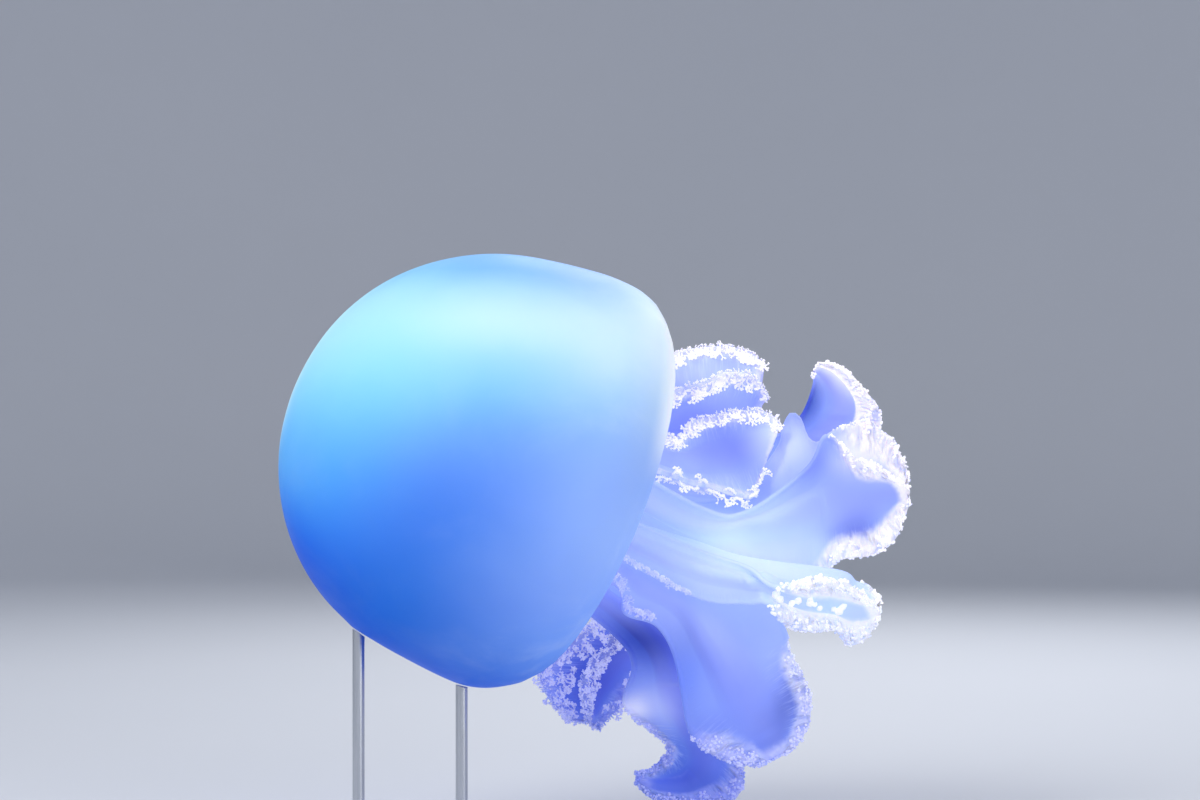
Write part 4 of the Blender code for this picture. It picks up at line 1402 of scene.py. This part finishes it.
def disc_finish():
    """Cloudy violet-blue jelly of the mouth disc and pillars."""
    g = Graph("disc_jelly")
    where = position(g)
    cloud = g.noise(where, 40.0, 4.0, 0.6)
    colour = g.mix(g.smooth(cloud, 0.3, 0.7), tint(92, 116, 220), tint(150, 168, 248))
    fine = g.noise(where, 200.0, 3.0, 0.6)
    return jelly(g, colour, 0.32 + fine * 0.1, g.bump(fine, 0.15, 0.0006))


def rod_finish():
    """Satin steel, drawn along the rod."""
    g = Graph("satin_steel")
    stretch = g.add("ShaderNodeMapping", Vector=position(g), Scale=(900.0, 900.0, 14.0))
    grain = g.noise(g.value(stretch.outputs[0]), 1.0, 3.0, 0.6)
    colour = g.mix(grain, tint(176, 180, 186), tint(212, 214, 218))
    return g.finish(Base_Color=colour, Metallic=1.0, Roughness=0.22 + grain * 0.14,
                    Normal=g.bump(grain, 0.08, 0.0001))


def plate_finish():
    """Matt white lacquer with a fine grain."""
    g = Graph("matt_plate")
    where = position(g)
    grain = g.noise(where, 900.0, 3.0, 0.65)
    cloud = g.noise(where, 14.0, 3.0, 0.5)
    colour = g.mix(cloud, tint(214, 216, 220), tint(226, 228, 231))
    colour = g.mix(g.smooth(grain, 0.55, 0.8) * 0.25, colour, tint(190, 192, 197))
    return g.finish(Base_Color=colour, Roughness=0.42 + grain * 0.18,
                    Normal=g.bump(grain, 0.12, 0.0002))


def floor_finish():
    """Pale matt paper of the studio."""
    g = Graph("studio_floor")
    cloud = g.noise(position(g), 1.5, 2.0, 0.5)
    colour = g.mix(cloud, tint(196, 200, 208), tint(204, 207, 214))
    return g.finish(Base_Color=colour, Roughness=0.7 + cloud * 0.1)


# ---------------------------------------------------------------- studio

def make_studio():
    """A round cove: a flat floor that curves up into a wall all round."""
    hub_r = 1e-4
    floor_r = 1.9
    curve_r = 0.7
    wall_top = 2.6
    turn = 0.5 * math.pi * np.arange(1, 13) / 12
    curve = np.stack([floor_r + curve_r * np.sin(turn), curve_r * (1.0 - np.cos(turn))], -1)
    profile = np.vstack([(0.0, 0.0), (floor_r, 0.0), curve, (floor_r + curve_r, wall_top)])
    cols = 96
    angle = np.arange(cols) / cols * math.tau
    r = profile[:, :1] + hub_r
    points = np.stack([r * np.cos(angle), r * np.sin(angle),
                       np.broadcast_to(profile[:, 1:], (len(profile), cols))], -1)
    floor = make_object("studio_floor", points.reshape(-1, 3),
                        [tube_faces(len(profile), cols)], floor_finish())


def soft_light(name, spot, aim, size, power, colour=(1.0, 1.0, 1.0)):
    """A round soft lamp at a spot, turned to its aim."""
    lamp = bpy.data.lights.new(name, "AREA")
    lamp.shape = "DISK"
    lamp.size = size
    lamp.energy = power
    lamp.color = colour
    obj = bpy.data.objects.new(name, lamp)
    obj.location = spot
    obj.rotation_euler = (Vector(aim) - Vector(spot)).to_track_quat("-Z", "Y").to_euler()
    bpy.context.scene.collection.objects.link(obj)


def make_lights():
    """A key from the front left, a fill from the right, one behind, and a pale room."""
    aim = (0.03, 0.0, 0.16)
    soft_light("key", (-0.75, -0.9, 1.15), aim, 0.9, 17.0)
    soft_light("fill", (0.95, -1.15, 0.45), aim, 1.1, 7.0, (0.96, 0.97, 1.0))
    soft_light("back", (0.35, 1.1, 0.95), aim, 0.8, 9.0)
    room = bpy.data.worlds.new("studio")
    room.use_nodes = True
    glow = room.node_tree.nodes["Background"].inputs
    glow["Color"].default_value = (0.86, 0.90, 1.0, 1.0)
    glow["Strength"].default_value = 0.55
    bpy.context.scene.world = room


def make_camera():
    """A level camera before the model's near side."""
    away = 1.2
    frame_width = 0.5004
    rise = 0.0375
    lens = bpy.data.cameras.new("camera")
    lens.sensor_width = 36.0
    lens.lens = lens.sensor_width * away / frame_width
    lens.clip_start = 0.05
    obj = bpy.data.objects.new("camera", lens)
    obj.location = (RIM_CENTRE[0] * MM, RIM_CENTRE[1] * MM - away, RIM_CENTRE[2] * MM + rise)
    obj.rotation_euler = (math.pi / 2, 0.0, 0.0)
    bpy.context.scene.collection.objects.link(obj)
    bpy.context.scene.camera = obj


# ---------------------------------------------------------------- assembly

def dress_node(name, material):
    """Gives a solid that shows as it is its finish."""
    obj = frame["nodes"][name]
    obj.data.materials.clear()
    obj.data.materials.append(material)


def main():
    """The studio, then every piece on its body, with the solids it stands for."""
    make_camera()
    make_lights()
    make_studio()

    bell = make_bell(bell_finish())
    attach(bell, "root")
    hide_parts("bell_crown", "bell_wall", "bell_margin")

    arms = []
    for number, (name, arm) in enumerate(ARMS.items()):
        cell = ((number % 4) * 0.25 + 0.005, (number // 4) * 0.5 + 0.005, 0.24, 0.49)
        arms.append(Arm(name, arm, cell))
    skin = make_arms_skin(arms, arm_finish())
    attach(skin, "root")
    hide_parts(*[name + part for name in ARMS for part in ("_base", "_tip")])

    coat = frill_finish()
    tufts = [tuft() for _ in range(KINDS)]
    beads = [pebbles(int(RNG.integers(1, 4))) for _ in range(KINDS)]
    for arm in arms:
        groups = [[0], [1], [2]] if arm.name in ("arm_1", "arm_8") else [[0, 1, 2]]
        for group in groups:
            frill = Frill(arm, group)
            for k in group:
                dress_wing(frill, k, tufts, beads)
            part = "_" + arm.wings[group[0]].name if len(group) == 1 else ""
            piece = frill.finish(arm.name + part + "_frill", coat)
            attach(piece, "root")

    gullet = make_gullet(disc_finish())
    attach(gullet, "root")
    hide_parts("oral_disc", "pillar_1", "pillar_2", "pillar_3", "pillar_4")
    steel = rod_finish()
    dress_node("stand_rod_left", steel)
    dress_node("stand_rod_right", steel)
    dress_node("stand_base", plate_finish())

    bpy.context.scene.view_settings.view_transform = "Standard"


main()
